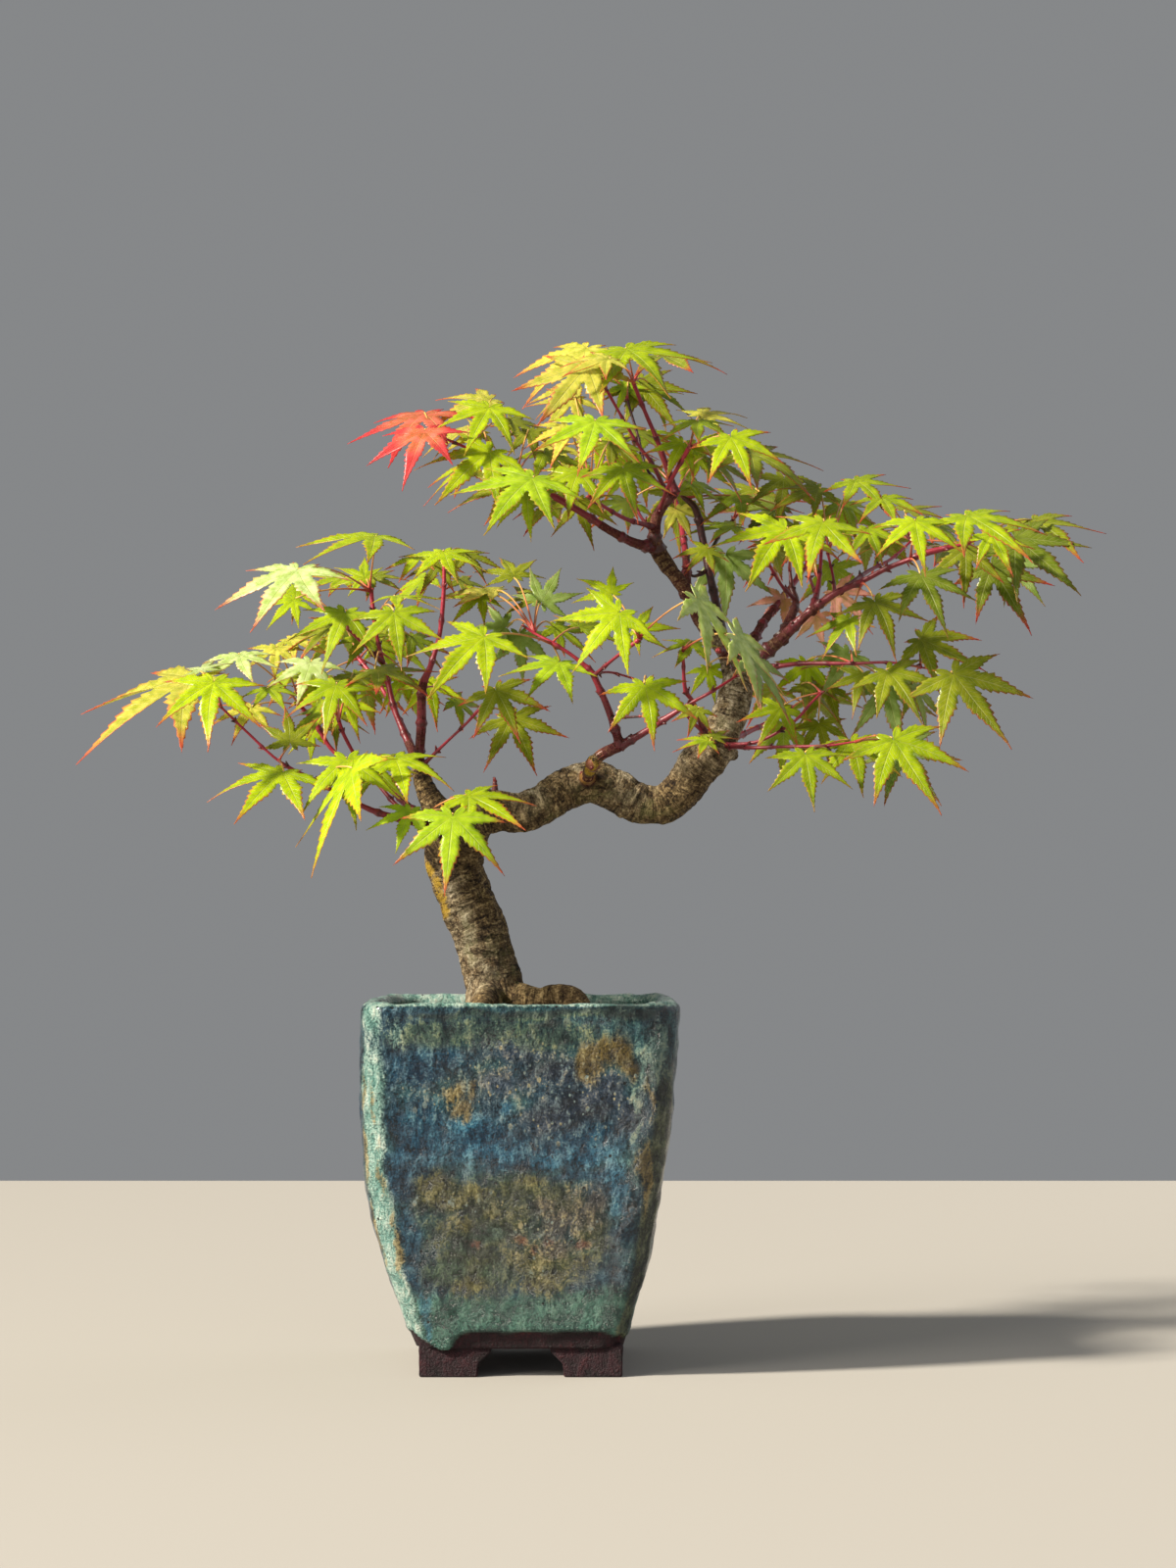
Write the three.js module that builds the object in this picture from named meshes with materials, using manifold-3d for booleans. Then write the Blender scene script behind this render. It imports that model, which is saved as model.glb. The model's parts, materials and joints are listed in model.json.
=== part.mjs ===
// Coral bark Japanese maple grown as a small bonsai, in a glazed square pot on four feet.
// Millimetres, +Z up. The origin lies on the surface that the pot stands on, under the middle of
// the whole plant's outline. The viewer of the front looks along +Y.

import * as THREE from 'three';
import Module from 'manifold-3d';
import { mergeVertices } from 'three/addons/utils/BufferGeometryUtils.js';

const wasm = await Module();
wasm.setup();

// Driving dimensions of the pot
const POT_X = -22.8; // middle of the pot, left of the origin because the crown leans right
const POT_HEIGHT = 127;
const POT_RIM_HALF = 54; // half the width over the rim
const POT_TAPER = 22; // how much narrower each side would be at table height
const POT_TAPER_POWER = 2.4; // the wall drops straight, then curls in
const POT_WALL = 6;
const POT_CORNER = 0.17; // corner radius as a share of the half width
const POT_LIP = 2.5; // height of the rounded lip
const POT_EASE = 1.5; // how far the lip and the lowest edges are drawn in
const POT_LEVELS = [13, 21, 32, 46, 64, 90]; // heights at which the curved wall is drawn
const FOOT_HEIGHT = 9;
const FOOT_SIZE = 20; // length of each leg of a foot
const FOOT_THICK = 8.5;
const FOOT_HALF = 34.5; // from the middle of the pot to the outer face of a foot
const FLOOR_TOP = 17;
const DRAIN_RADIUS = 7;
const DRAIN_SIDES = 16;

// Driving dimensions of what is in the pot
const SOIL_EDGE_Z = 118;
const SOIL_MOUND_Z = 123;
const SOIL_MOUND = [[0.72, 0.12], [0.5, 0.6], [0.25, 1]]; // shares of the width and of the rise
const MESH_HALF = 11; // half the side of the square drainage mesh
const MESH_THICK = 1.2;
const MESH_HOLE = 4;
const MESH_PITCH = 6;
const WIRE_RADIUS = 0.6;
const WIRE_LEG = 5.5; // from the middle of the hole to each leg of the staple
const WIRE_BEND = 1.4; // radius of the staple's bends
const WIRE_TAIL = 9; // length of each end that is bent out under the floor
const ROUND_SIDES = 6; // sides of a thin round section
const GAP = 0.3; // clearance between touching pieces

// Driving dimensions of the plant
const TRUNK_RADIUS = 6; // wood at least this thick is drawn with TRUNK_SIDES
const TRUNK_SIDES = 10;
const BRANCH_RADIUS = 2.5; // thinner wood is a twig
const TWIG_SIDES = 4;
const PETIOLE_RADIUS = 0.45;
const PETIOLE_INSET = 1; // the stalk meets the blade this far behind the lobes' meeting point
const PETIOLE_SIDES = 3;
const PETIOLE_BEND = 0.55; // how far out along the stalk it bends over
const PETIOLE_RISE = 0.12; // how high the bend stands, as a share of the stalk's length
const COLLAR_RADIUS = 0.9; // of the swollen foot of a stalk, where it leaves the bud
const LEAF_THICK = 1; // at the base of the blade, where its veins meet
const LEAF_SCALE = 0.93; // spread of a blade against the length noted for it
const LEAF_DROOP = 0.16; // how far a tip hangs below the blade's plane, as a share of its length
const DROOP_POWER = 1.8; // the blade bends over more and more towards the tips
const DROOP_BACK = 0.6; // share of the droop away from the blade's face
const DROOP_DOWN = 0.5; // share of the droop straight down

// The blade: each lobe's angle from the middle one, and its length as a share of the middle one
const LOBES = [[-94, 0.64], [-47, 0.88], [0, 1], [47, 0.88], [94, 0.64]];
// The notches between the lobes and the blade's heel, in the same way
const NOTCHES = [[-70, 0.25], [-23, 0.28], [23, 0.28], [70, 0.25], [138, 0.22], [-138, 0.22]];

// Where the plant's points lie. Each is noted as a column and a row of the front view, 1200 by
// 1600, and a depth in mm from the middle plane, minus towards the viewer.
const EYE_DISTANCE = 1037;
const EYE_HEIGHT = 158;
const VIEW_FOCAL = 2998; // in columns
const VIEW_COLUMN = 600;
const VIEW_ROW = 800;
const HORIZON_ROW = 929;
const MM_PER_COLUMN = EYE_DISTANCE / VIEW_FOCAL;

// The grown wood: each stretch as points of column, row, depth and half width in columns
const WOOD = {
  trunk: [[508, 1040, 0, 34], [505, 1012, 0, 31], [500, 990, 0, 28.5], [493, 962, 0, 28],
    [485, 938, 0, 28.5], [475, 915, 0, 28.5], [466, 893, -1, 27.5], [464, 872, -2, 31],
    [470, 850, -3, 30], [486, 833, -4, 26], [508, 828, -5, 21], [530, 829, -5, 20],
    [553, 820, -4, 20.5], [577, 805, -2, 20.5], [602, 798, 0, 21.5], [628, 807, 2, 22],
    [652, 820, 3, 21], [676, 821, 3, 20], [698, 803, 2, 21], [713, 781, 1, 22], [729, 763, 0, 21],
    [738, 742, 0, 19.5], [748, 719, 1, 18], [753, 697, 2, 16.5], [749, 678, 3, 14.5],
    [740, 662, 4, 10.5], [728, 650, 5, 8], [714, 634, 5, 6.6], [704, 612, 4, 6.6], [692, 592, 3, 7.5],
    [679, 575, 2, 8.5], [670, 560, 0, 8]],
  root_right: [[520, 1018, -4, 21], [536, 1021, -7, 16], [552, 1022, -9, 14], [568, 1017, -11, 13],
    [582, 1020, -13, 14], [595, 1032, -15, 11]],
  root_left: [[500, 1024, 6, 20], [486, 1034, 14, 14], [470, 1044, 20, 9]],
  root_back: [[512, 1012, 10, 20], [524, 1024, 24, 13], [534, 1036, 34, 8]],
  root_front: [[500, 1014, -8, 20], [490, 1028, -22, 11], [484, 1040, -30, 7]],
  leader: [[670, 560, 0, 8], [668, 545, -3, 6.5], [670, 528, -4, 6], [680, 512, -6, 5],
    [690, 503, -7, 4.5]],
  top_red: [[688, 500, -7, 4], [673, 455, -9, 3.4], [659, 422, -10, 3], [646, 390, -12, 3]],
  top_dark: [[684, 505, -3, 3], [661, 480, 3, 2.4], [651, 445, 6, 2.2], [640, 408, 9, 2.6]],
  top_left_red: [[682, 508, -9, 3.4], [666, 474, -17, 3], [652, 455, -20, 2.6], [636, 428, -23, 2.4],
    [619, 398, -26, 2.6]],
  top_right_red: [[672, 524, -4, 3.6], [684, 492, -20, 3], [703, 457, -29, 3.2]],
  crown_left: [[664, 562, -3, 6.5], [645, 553, -9, 5.2], [622, 541, -14, 4.6], [600, 527, -17, 4.2],
    [575, 512, -20, 4.2], [552, 500, -23, 3.8], [526, 485, -26, 3.4], [500, 471, -28, 3.4],
    [478, 458, -26, 2.6], [455, 448, -26, 2.2], [440, 442, -26, 2]],
  crown_left_upper: [[662, 538, -6, 3.6], [640, 530, -17, 3.2], [618, 518, -26, 3], [602, 508, -32, 3]],
  crown_back_red: [[660, 548, 3, 3], [652, 524, 14, 2.6], [640, 495, 23, 2.4], [622, 462, 32, 2.2]],
  dark_riser: [[741, 664, 12, 6.5], [732, 622, 20, 5], [724, 585, 23, 4.6], [717, 550, 25, 4.4],
    [710, 520, 25, 4.2], [698, 508, 25, 3.4]],
  dark_riser_back: [[721, 572, 25, 3.6], [735, 545, 38, 2.6], [748, 530, 46, 2.4]],
  dark_riser_spur: [[724, 580, 23, 3], [708, 588, 20, 2.6], [699, 580, 17, 2.2]],
  right_main: [[752, 684, 3, 11], [772, 672, 0, 8.5], [797, 652, -4, 6.6], [822, 628, -9, 4.8],
    [852, 606, -12, 4], [880, 593, -14, 3.6], [905, 580, -17, 3.4], [928, 571, -20, 3.4],
    [946, 564, -22, 4], [985, 555, -25, 2.4]],
  right_riser: [[797, 652, -4, 6], [806, 632, 6, 5], [812, 615, 13, 4.5], [808, 600, 17, 3.6],
    [806, 582, 20, 2.6]],
  right_riser_left: [[811, 612, 13, 3], [798, 598, 9, 2.8], [785, 577, 3, 2.2]],
  right_riser_mid: [[828, 624, -9, 4.4], [834, 604, 0, 3.6], [837, 580, 6, 3], [838, 562, 9, 2.8]],
  right_riser_back: [[833, 608, 0, 3], [826, 588, 14, 2.4], [822, 570, 26, 2.2]],
  right_riser_far: [[853, 606, -12, 3], [850, 588, -3, 2.4], [845, 566, 3, 2.2]],
  right_upper: [[858, 604, -12, 3.6], [884, 584, 6, 3], [910, 570, 20, 2.6], [930, 552, 32, 2]],
  right_level: [[762, 682, 6, 5], [790, 680, -3, 3.6], [820, 677, -12, 3.2], [870, 677, -20, 2.6],
    [908, 676, -26, 2], [940, 681, -29, 1.5], [970, 687, -32, 1.3]],
  right_low: [[744, 768, -9, 4], [772, 757, -14, 2.6], [808, 738, -20, 2.6], [827, 718, -20, 2.2],
    [838, 707, -19, 1.8]],
  right_lowest: [[738, 764, -14, 4], [765, 763, -23, 3], [800, 762, -30, 2.6], [842, 761, -38, 2.4],
    [872, 757, -41, 1.6]],
  right_knob: [[738, 765, 2, 14], [750, 773, 3, 6.5]],
  elbow_left: [[462, 858, -3, 22], [446, 826, 0, 15], [433, 800, 1, 10], [427, 780, 3, 8]],
  left_inner: [[426, 782, 3, 5.5], [414, 752, 12, 4.2], [402, 722, 17, 3.8], [395, 692, 20, 3.6],
    [388, 665, 20, 3.2], [382, 635, 20, 2.8], [379, 604, 20, 3.2]],
  left_inner_red: [[391, 676, 20, 3], [374, 660, 12, 2.6], [356, 643, 4, 2.4]],
  left_upright: [[430, 780, 0, 5.5], [430, 740, -6, 5.2], [431, 702, -9, 4.8], [440, 678, -12, 3.6],
    [449, 645, -13, 3.2], [453, 600, -14, 3], [453, 572, -14, 2.6]],
  left_outer: [[438, 782, -6, 3.4], [456, 757, -12, 2.4], [474, 740, -14, 2.2], [490, 723, -16, 3]],
  left_low: [[446, 842, -12, 6.5], [420, 838, -22, 4.6], [380, 827, -29, 3.8], [345, 809, -33, 3.2],
    [320, 797, -36, 4], [284, 776, -38, 2.4], [252, 747, -39, 2.2], [226, 722, -41, 2]],
  left_mid: [[440, 832, 0, 5], [410, 826, 4, 3.6], [388, 803, 12, 3], [368, 780, 14, 2.8],
    [352, 752, 14, 3], [346, 736, 14, 3]],
  left_back: [[428, 820, 9, 5], [398, 806, 20, 3.6], [362, 784, 29, 3.4], [338, 764, 32, 3.2],
    [322, 738, 32, 3.4], [308, 722, 32, 3]],
  left_front: [[448, 848, -20, 5], [436, 848, -32, 3], [424, 838, -41, 2.4]],
  middle: [[596, 795, -14, 7.5], [604, 782, -20, 6.5], [614, 770, -23, 6.2], [635, 760, -26, 5.6]],
  middle_left: [[634, 762, -26, 5], [627, 742, -29, 4.4], [620, 722, -32, 4], [608, 694, -35, 3.8],
    [602, 684, -35, 3.6], [584, 669, -35, 2.8], [565, 657, -35, 3], [545, 646, -33, 2.2],
    [536, 640, -33, 2]],
  middle_fork: [[605, 690, -35, 3], [628, 671, -44, 2.6], [652, 653, -49, 3.2]],
  middle_thin: [[604, 688, -32, 2.6], [622, 686, -26, 2], [645, 692, -20, 1.8], [660, 698, -17, 1.6]],
  middle_short: [[622, 732, -32, 3], [640, 732, -44, 2], [653, 731, -49, 2]],
  middle_right: [[634, 762, -26, 4.6], [658, 747, -30, 4], [683, 731, -35, 3.6], [704, 718, -38, 2.8],
    [724, 707, -41, 2.6], [745, 694, -39, 2], [764, 681, -35, 1.6]],
  trunk_twig: [[722, 754, -14, 3.6], [706, 736, -23, 2.6], [692, 717, -29, 2.4]],
  trunk_twig_up: [[724, 742, -17, 4], [708, 718, -29, 3.2], [699, 702, -35, 3], [697, 663, -41, 2.2]],
  trunk_stub: [[737, 668, -8, 5], [733, 664, -13, 4]],
  limb_stub: [[502, 812, -5, 6], [505, 797, -6, 3]],
  back_left: [[434, 806, 4, 6], [424, 772, 24, 4.4], [408, 735, 40, 3.6], [388, 700, 54, 3.2],
    [366, 672, 64, 3]],
  back_right: [[757, 676, 6, 7], [776, 640, 28, 5], [802, 606, 46, 4], [826, 572, 60, 3.4],
    [842, 545, 68, 3]],
  back_top: [[700, 606, 4, 6], [700, 570, 26, 4.4], [694, 530, 46, 3.6], [684, 492, 60, 3]],
  back_low: [[728, 760, 8, 6], [752, 752, 30, 4], [782, 738, 50, 3.2], [806, 724, 64, 3]],
};

// The sprays: the stretch of wood each grows on, its point there, and its leaves as column and row
// of the leaf's base, depth, heading of the middle lobe in the view, lift of the blade's face from
// the viewer towards the sky, swing of the face to the right, length in mm, and tint
const SPRAYS = [
  { on: 'left_low', at: 7, leaves: [
    [218, 696, -49, 264, 40, 0, 30, 'lime'], [196, 692, -16, 210, 62, -30, 54, 'gold'],
    [206, 684, -17, 70, 60, -30, 15, 'sun']] },
  { on: 'left_back', at: 5, leaves: [
    [244, 668, 0, 300, 62, 0, 22, 'sun'], [282, 661, 17, 268, 47, 0, 18, 'gold'],
    [274, 702, -9, 320, 62, 0, 17, 'green'], [256, 722, 12, 243, 52, 0, 20, 'gold'],
    [325, 700, 29, 268, 32, 0, 17, 'lime'], [318, 745, 41, 272, 32, 0, 15, 'lime'],
    [300, 684, 30, 235, 55, -45, 23, 'green'], [338, 724, 46, 290, 45, 20, 20, 'olive'],
    [296, 652, 24, 345, 62, 0, 20, 'gold']] },
  { on: 'left_mid', at: 5, leaves: [
    [317, 676, -17, 255, 42, 0, 22, 'sun'], [343, 699, -32, 256, 40, 0, 25, 'green'],
    [352, 716, 23, 300, 32, 0, 17, 'lime'], [362, 688, 34, 322, 55, 30, 22, 'olive'],
    [330, 722, -4, 215, 45, -40, 20, 'green']] },
  { on: 'left_low', at: 5, leaves: [
    [296, 758, -35, 95, 20, 0, 18, 'olive'], [288, 788, -49, 225, 60, 0, 32, 'lime']] },
  { on: 'left_inner', at: 6, leaves: [
    [303, 582, -32, 232, 54, -18, 37, 'sun'], [300, 612, 0, 225, 42, 0, 16, 'lime'],
    [382, 547, 3, 198, 72, 0, 34, 'lime'], [372, 590, 32, 150, 42, 0, 17, 'lime'],
    [380, 588, 44, 335, 62, 0, 20, 'olive'], [350, 590, 49, 190, 62, 0, 18, 'green']] },
  { on: 'left_inner_red', at: 2, leaves: [
    [352, 625, -41, 252, 44, 0, 26, 'green'], [303, 600, 9, 268, 42, 0, 16, 'lime'],
    [338, 640, 14, 200, 55, -40, 22, 'olive'], [372, 650, 26, 305, 45, 20, 22, 'green']] },
  { on: 'left_inner', at: 5, leaves: [
    [402, 625, -44, 280, 36, 0, 25, 'green'], [405, 608, -9, 350, 78, 0, 22, 'lime'],
    [420, 650, 34, 318, 50, 40, 21, 'green'], [396, 636, 40, 245, 50, -30, 20, 'olive']] },
  { on: 'left_upright', at: 6, leaves: [
    [453, 563, -32, 290, 57, 0, 22, 'lime'], [430, 567, 0, 225, 62, -20, 17, 'lime'],
    [448, 575, 17, 240, 37, 0, 17, 'olive'], [475, 565, 29, 310, 52, 20, 19, 'olive'],
    [436, 590, 30, 215, 50, -40, 21, 'green'], [470, 592, 40, 330, 55, 40, 20, 'olive']] },
  { on: 'left_inner', at: 4, leaves: [
    [385, 683, -23, 345, 68, 0, 27, 'olive'], [412, 690, 29, 232, 27, 0, 17, 'lime']] },
  { on: 'left_upright', at: 2, leaves: [
    [437, 697, 20, 290, 37, 0, 20, 'lime'], [464, 714, 26, 325, 45, 45, 18, 'green']] },
  { on: 'left_outer', at: 3, leaves: [
    [506, 704, -29, 300, 34, 0, 24, 'olive'], [521, 733, 6, 300, 34, 0, 27, 'olive']] },
  { on: 'left_low', at: 4, leaves: [
    [354, 775, -52, 276, 40, 0, 29, 'lime'], [358, 786, -67, 246, 32, -66, 40, 'lime'],
    [403, 773, -36, 298, 60, 0, 30, 'lime'], [380, 780, -17, 315, 42, 0, 20, 'green']] },
  { on: 'left_front', at: 2, leaves: [
    [419, 827, -67, 247, 42, 0, 19, 'light'], [462, 833, -81, 266, 30, 0, 30, 'light'],
    [478, 812, -58, 338, 62, 0, 28, 'lime']] },
  { on: 'crown_left', at: 10, leaves: [
    [433, 440, -38, 250, 46, -15, 27, 'coral'], [432, 422, -14, 230, 62, -20, 35, 'coral']] },
  { on: 'crown_left', at: 8, leaves: [
    [499, 408, -9, 195, 55, 0, 26, 'gold'], [499, 416, -29, 244, 46, 0, 27, 'lime'],
    [522, 428, 16, 330, 55, 30, 21, 'olive'], [476, 436, 10, 220, 60, -45, 22, 'gold']] },
  { on: 'crown_left', at: 7, leaves: [
    [500, 461, -36, 220, 42, 0, 32, 'lime'], [490, 440, 12, 205, 42, 0, 17, 'gold'],
    [478, 474, 12, 215, 50, -45, 23, 'green']] },
  { on: 'crown_left', at: 6, leaves: [
    [543, 488, -60, 223, 52, 0, 34, 'light'], [524, 493, -20, 195, 42, 0, 26, 'olive'],
    [538, 502, -29, 272, 30, 0, 20, 'lime'], [540, 440, -12, 290, 47, 0, 17, 'olive'],
    [556, 462, 18, 312, 50, 20, 22, 'green']] },
  { on: 'crown_left', at: 5, leaves: [
    [590, 482, -44, 250, 42, 0, 23, 'green'], [590, 512, 12, 288, 32, 0, 20, 'olive'],
    [566, 506, 22, 230, 45, -30, 21, 'olive']] },
  { on: 'crown_left_upper', at: 3, leaves: [
    [607, 430, -62, 256, 46, 0, 29, 'light'], [585, 406, 6, 225, 47, 0, 22, 'gold'],
    [636, 478, -58, 282, 42, 0, 25, 'green'], [624, 452, 6, 322, 50, 20, 22, 'olive'],
    [580, 436, -30, 250, 50, 0, 22, 'gold']] },
  { on: 'crown_back_red', at: 3, leaves: [
    [612, 450, 35, 270, 32, 0, 18, 'lime'], [570, 455, 38, 230, 42, 0, 20, 'gold'],
    [590, 474, 52, 205, 60, -40, 24, 'green'], [644, 438, 46, 330, 60, 35, 24, 'olive']] },
  { on: 'top_left_red', at: 4, leaves: [
    [597, 356, -23, 216, 54, -25, 33, 'gold'], [599, 374, -38, 232, 42, -10, 33, 'gold'],
    [612, 376, 9, 205, 52, 0, 20, 'gold'], [586, 390, 18, 222, 55, -40, 23, 'gold']] },
  { on: 'top_red', at: 3, leaves: [
    [640, 356, -29, 318, 58, 0, 36, 'lime'], [620, 366, -44, 200, 60, 0, 20, 'gold'],
    [676, 363, 9, 325, 74, 0, 30, 'olive'], [652, 390, 17, 308, 37, 0, 26, 'olive'],
    [666, 398, 24, 292, 50, 20, 22, 'green']] },
  { on: 'top_dark', at: 3, leaves: [
    [640, 392, 14, 250, 32, 0, 14, 'light']] },
  { on: 'top_right_red', at: 2, leaves: [
    [712, 430, -26, 262, 64, 0, 21, 'green'], [746, 446, -41, 295, 40, 0, 25, 'lime'],
    [697, 452, -23, 238, 32, 0, 18, 'green'], [766, 462, 6, 335, 62, 10, 33, 'olive'],
    [716, 424, 6, 20, 60, 0, 23, 'gold'], [728, 470, 26, 312, 50, 40, 22, 'olive']] },
  { on: 'leader', at: 4, leaves: [
    [714, 468, 20, 200, 32, 0, 14, 'lime'], [690, 520, 29, 300, 42, 0, 18, 'gold'],
    [704, 492, 26, 330, 50, 40, 20, 'green']] },
  { on: 'dark_riser', at: 5, leaves: [
    [796, 517, 46, 178, 52, 0, 29, 'dark']] },
  { on: 'dark_riser_back', at: 2, leaves: [
    [748, 537, 32, 184, 68, 0, 25, 'green'], [800, 488, 35, 262, 32, 0, 22, 'olive'],
    [772, 512, 52, 15, 60, 0, 23, 'olive'], [754, 506, 34, 212, 55, 0, 23, 'green']] },
  { on: 'dark_riser_spur', at: 2, leaves: [
    [722, 560, 14, 222, 42, 0, 16, 'olive'], [740, 567, 46, 272, 20, 0, 28, 'pale']] },
  { on: 'right_riser', at: 4, leaves: [
    [802, 540, -44, 228, 42, 0, 33, 'lime']] },
  { on: 'right_riser_left', at: 2, leaves: [
    [800, 612, 41, 222, 30, 0, 17, 'blush']] },
  { on: 'right_riser_mid', at: 3, leaves: [
    [840, 533, -58, 243, 46, 0, 28, 'lime'], [822, 548, -17, 282, 37, 0, 18, 'olive']] },
  { on: 'right_riser_far', at: 2, leaves: [
    [873, 490, 6, 320, 58, 0, 24, 'green'], [835, 498, 20, 200, 55, 0, 22, 'olive'],
    [860, 512, 26, 292, 50, 30, 22, 'green']] },
  { on: 'right_riser_back', at: 2, leaves: [
    [770, 500, 62, 240, 42, 0, 22, 'olive']] },
  { on: 'right_upper', at: 3, leaves: [
    [900, 508, -3, 295, 57, 0, 20, 'green'], [886, 540, -12, 290, 40, 0, 19, 'green'],
    [1030, 572, 20, 310, 22, 0, 22, 'pale'], [925, 520, 38, 20, 62, 0, 18, 'olive'],
    [948, 530, 42, 322, 55, 40, 23, 'green'], [908, 548, 40, 240, 45, -20, 20, 'olive']] },
  { on: 'right_main', at: 4, leaves: [
    [852, 604, 38, 322, 27, 0, 21, 'blush'], [832, 628, 35, 280, 27, 0, 15, 'blush']] },
  { on: 'right_main', at: 5, leaves: [
    [893, 614, -35, 296, 36, 0, 24, 'olive'], [866, 632, -6, 228, 40, -30, 20, 'green']] },
  { on: 'right_main', at: 7, leaves: [
    [934, 532, -55, 272, 46, 0, 24, 'lime'], [940, 587, -44, 292, 40, 0, 26, 'dark'],
    [964, 560, 8, 302, 50, 45, 23, 'olive']] },
  { on: 'right_main', at: 9, leaves: [
    [987, 526, -49, 325, 62, 0, 33, 'lime'], [1012, 545, -32, 292, 37, 0, 19, 'lime'],
    [1055, 531, -6, 322, 60, 0, 31, 'olive'], [1036, 549, -20, 318, 40, 0, 33, 'dark'],
    [1012, 578, 0, 298, 26, 0, 28, 'dark'], [985, 560, -12, 268, 30, 0, 23, 'olive']] },
  { on: 'right_level', at: 5, leaves: [
    [940, 652, -26, 335, 40, 0, 27, 'olive'], [906, 685, -38, 308, 40, 0, 26, 'olive'],
    [932, 700, -2, 292, 30, 45, 21, 'green']] },
  { on: 'right_level', at: 6, leaves: [
    [973, 688, -41, 305, 30, 0, 34, 'olive']] },
  { on: 'right_level', at: 3, leaves: [
    [866, 667, 12, 236, 30, 0, 23, 'pale'], [904, 700, 9, 284, 12, 0, 26, 'pale'],
    [823, 677, 17, 266, 12, 0, 20, 'lime'], [880, 688, -23, 248, 32, 0, 17, 'olive'],
    [845, 700, 22, 228, 35, 0, 20, 'olive']] },
  { on: 'right_low', at: 4, leaves: [
    [797, 722, -17, 236, 36, 0, 20, 'lime'], [836, 738, 17, 286, 32, 0, 18, 'olive'],
    [820, 700, 12, 322, 50, 30, 18, 'olive']] },
  { on: 'right_lowest', at: 3, leaves: [
    [822, 770, -52, 276, 34, 0, 23, 'green'], [868, 757, -35, 286, 40, 0, 25, 'green']] },
  { on: 'right_lowest', at: 4, leaves: [
    [912, 755, -61, 300, 34, 0, 32, 'green'], [918, 762, -26, 302, 27, 0, 27, 'pale']] },
  { on: 'middle_fork', at: 2, leaves: [
    [632, 625, -67, 226, 26, 0, 28, 'lime'], [648, 642, -46, 10, 32, 0, 17, 'lime'],
    [624, 606, -29, 140, 30, 0, 17, 'lime'], [712, 612, -72, 309, 32, 58, 34, 'sun']] },
  { on: 'middle_left', at: 6, leaves: [
    [494, 650, -55, 222, 46, -10, 33, 'lime'], [570, 676, -32, 222, 56, 0, 26, 'light'],
    [592, 640, -14, 20, 55, 30, 20, 'green']] },
  { on: 'middle_left', at: 7, leaves: [
    [553, 614, 9, 62, 20, 0, 20, 'pale'], [548, 612, 23, 138, 60, 0, 23, 'olive'],
    [505, 602, 12, 178, 72, 0, 24, 'gold'], [492, 607, 23, 215, 47, 0, 18, 'green'],
    [515, 640, 29, 172, 22, 0, 17, 'pale'], [530, 648, 32, 275, 22, 0, 21, 'pale'],
    [524, 588, 22, 110, 45, 0, 20, 'olive'], [566, 640, 10, 330, 50, 30, 20, 'green']] },
  { on: 'middle_thin', at: 3, leaves: [
    [658, 699, -61, 282, 34, 0, 26, 'lime']] },
  { on: 'trunk_twig_up', at: 3, leaves: [
    [705, 655, -35, 240, 60, 0, 18, 'green'], [752, 650, -76, 318, 32, 56, 30, 'sun']] },
  { on: 'middle_right', at: 6, leaves: [
    [766, 672, -46, 313, 32, 50, 26, 'pale'], [722, 682, 20, 285, 27, 0, 15, 'lime']] },
  { on: 'trunk', at: 20, leaves: [
    [712, 724, -44, 246, 32, 0, 12, 'olive'], [722, 756, -38, 190, 62, 0, 14, 'green'],
    [728, 752, -35, 35, 57, 0, 11, 'olive']] },
  { on: 'back_left', at: 4, leaves: [
    [350, 640, 70, 215, 120, 0, 26, 'green'], [395, 652, 78, 330, 130, 0, 25, 'lime'],
    [328, 690, 62, 200, 105, 0, 24, 'lime'], [372, 692, 84, 275, 140, 0, 26, 'olive'],
    [410, 700, 72, 310, 120, 0, 22, 'green']] },
  { on: 'back_right', at: 4, leaves: [
    [852, 520, 76, 300, 130, 0, 26, 'green'], [884, 550, 66, 345, 110, 0, 26, 'olive'],
    [815, 540, 80, 240, 140, 0, 26, 'olive'], [848, 578, 88, 280, 150, 0, 24, 'green'],
    [790, 560, 62, 215, 120, 0, 22, 'olive']] },
  { on: 'back_top', at: 3, leaves: [
    [655, 470, 70, 215, 130, 0, 26, 'lime'], [706, 458, 76, 320, 130, 0, 26, 'green'],
    [690, 502, 88, 270, 150, 0, 25, 'olive'], [640, 512, 64, 200, 110, 0, 24, 'green'],
    [660, 440, 52, 240, 100, 0, 22, 'lime']] },
  { on: 'back_low', at: 3, leaves: [
    [832, 712, 72, 320, 130, 0, 24, 'olive'], [800, 742, 80, 270, 145, 0, 24, 'green'],
    [790, 704, 66, 220, 120, 0, 22, 'olive']] },
];

const LEAF_TINTS = {
  lime: 0xb9cf3a, gold: 0xd9cf62, sun: 0xe6ecb0, green: 0x86a832, olive: 0x8a8f3a,
  light: 0xa6cf52, coral: 0xd8665a, blush: 0xe3a78e, pale: 0xa5b583, dark: 0x667a2c,
};

function finish(color, roughness) {
  return new THREE.MeshStandardMaterial({ color, roughness, metalness: 0 });
}

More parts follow.
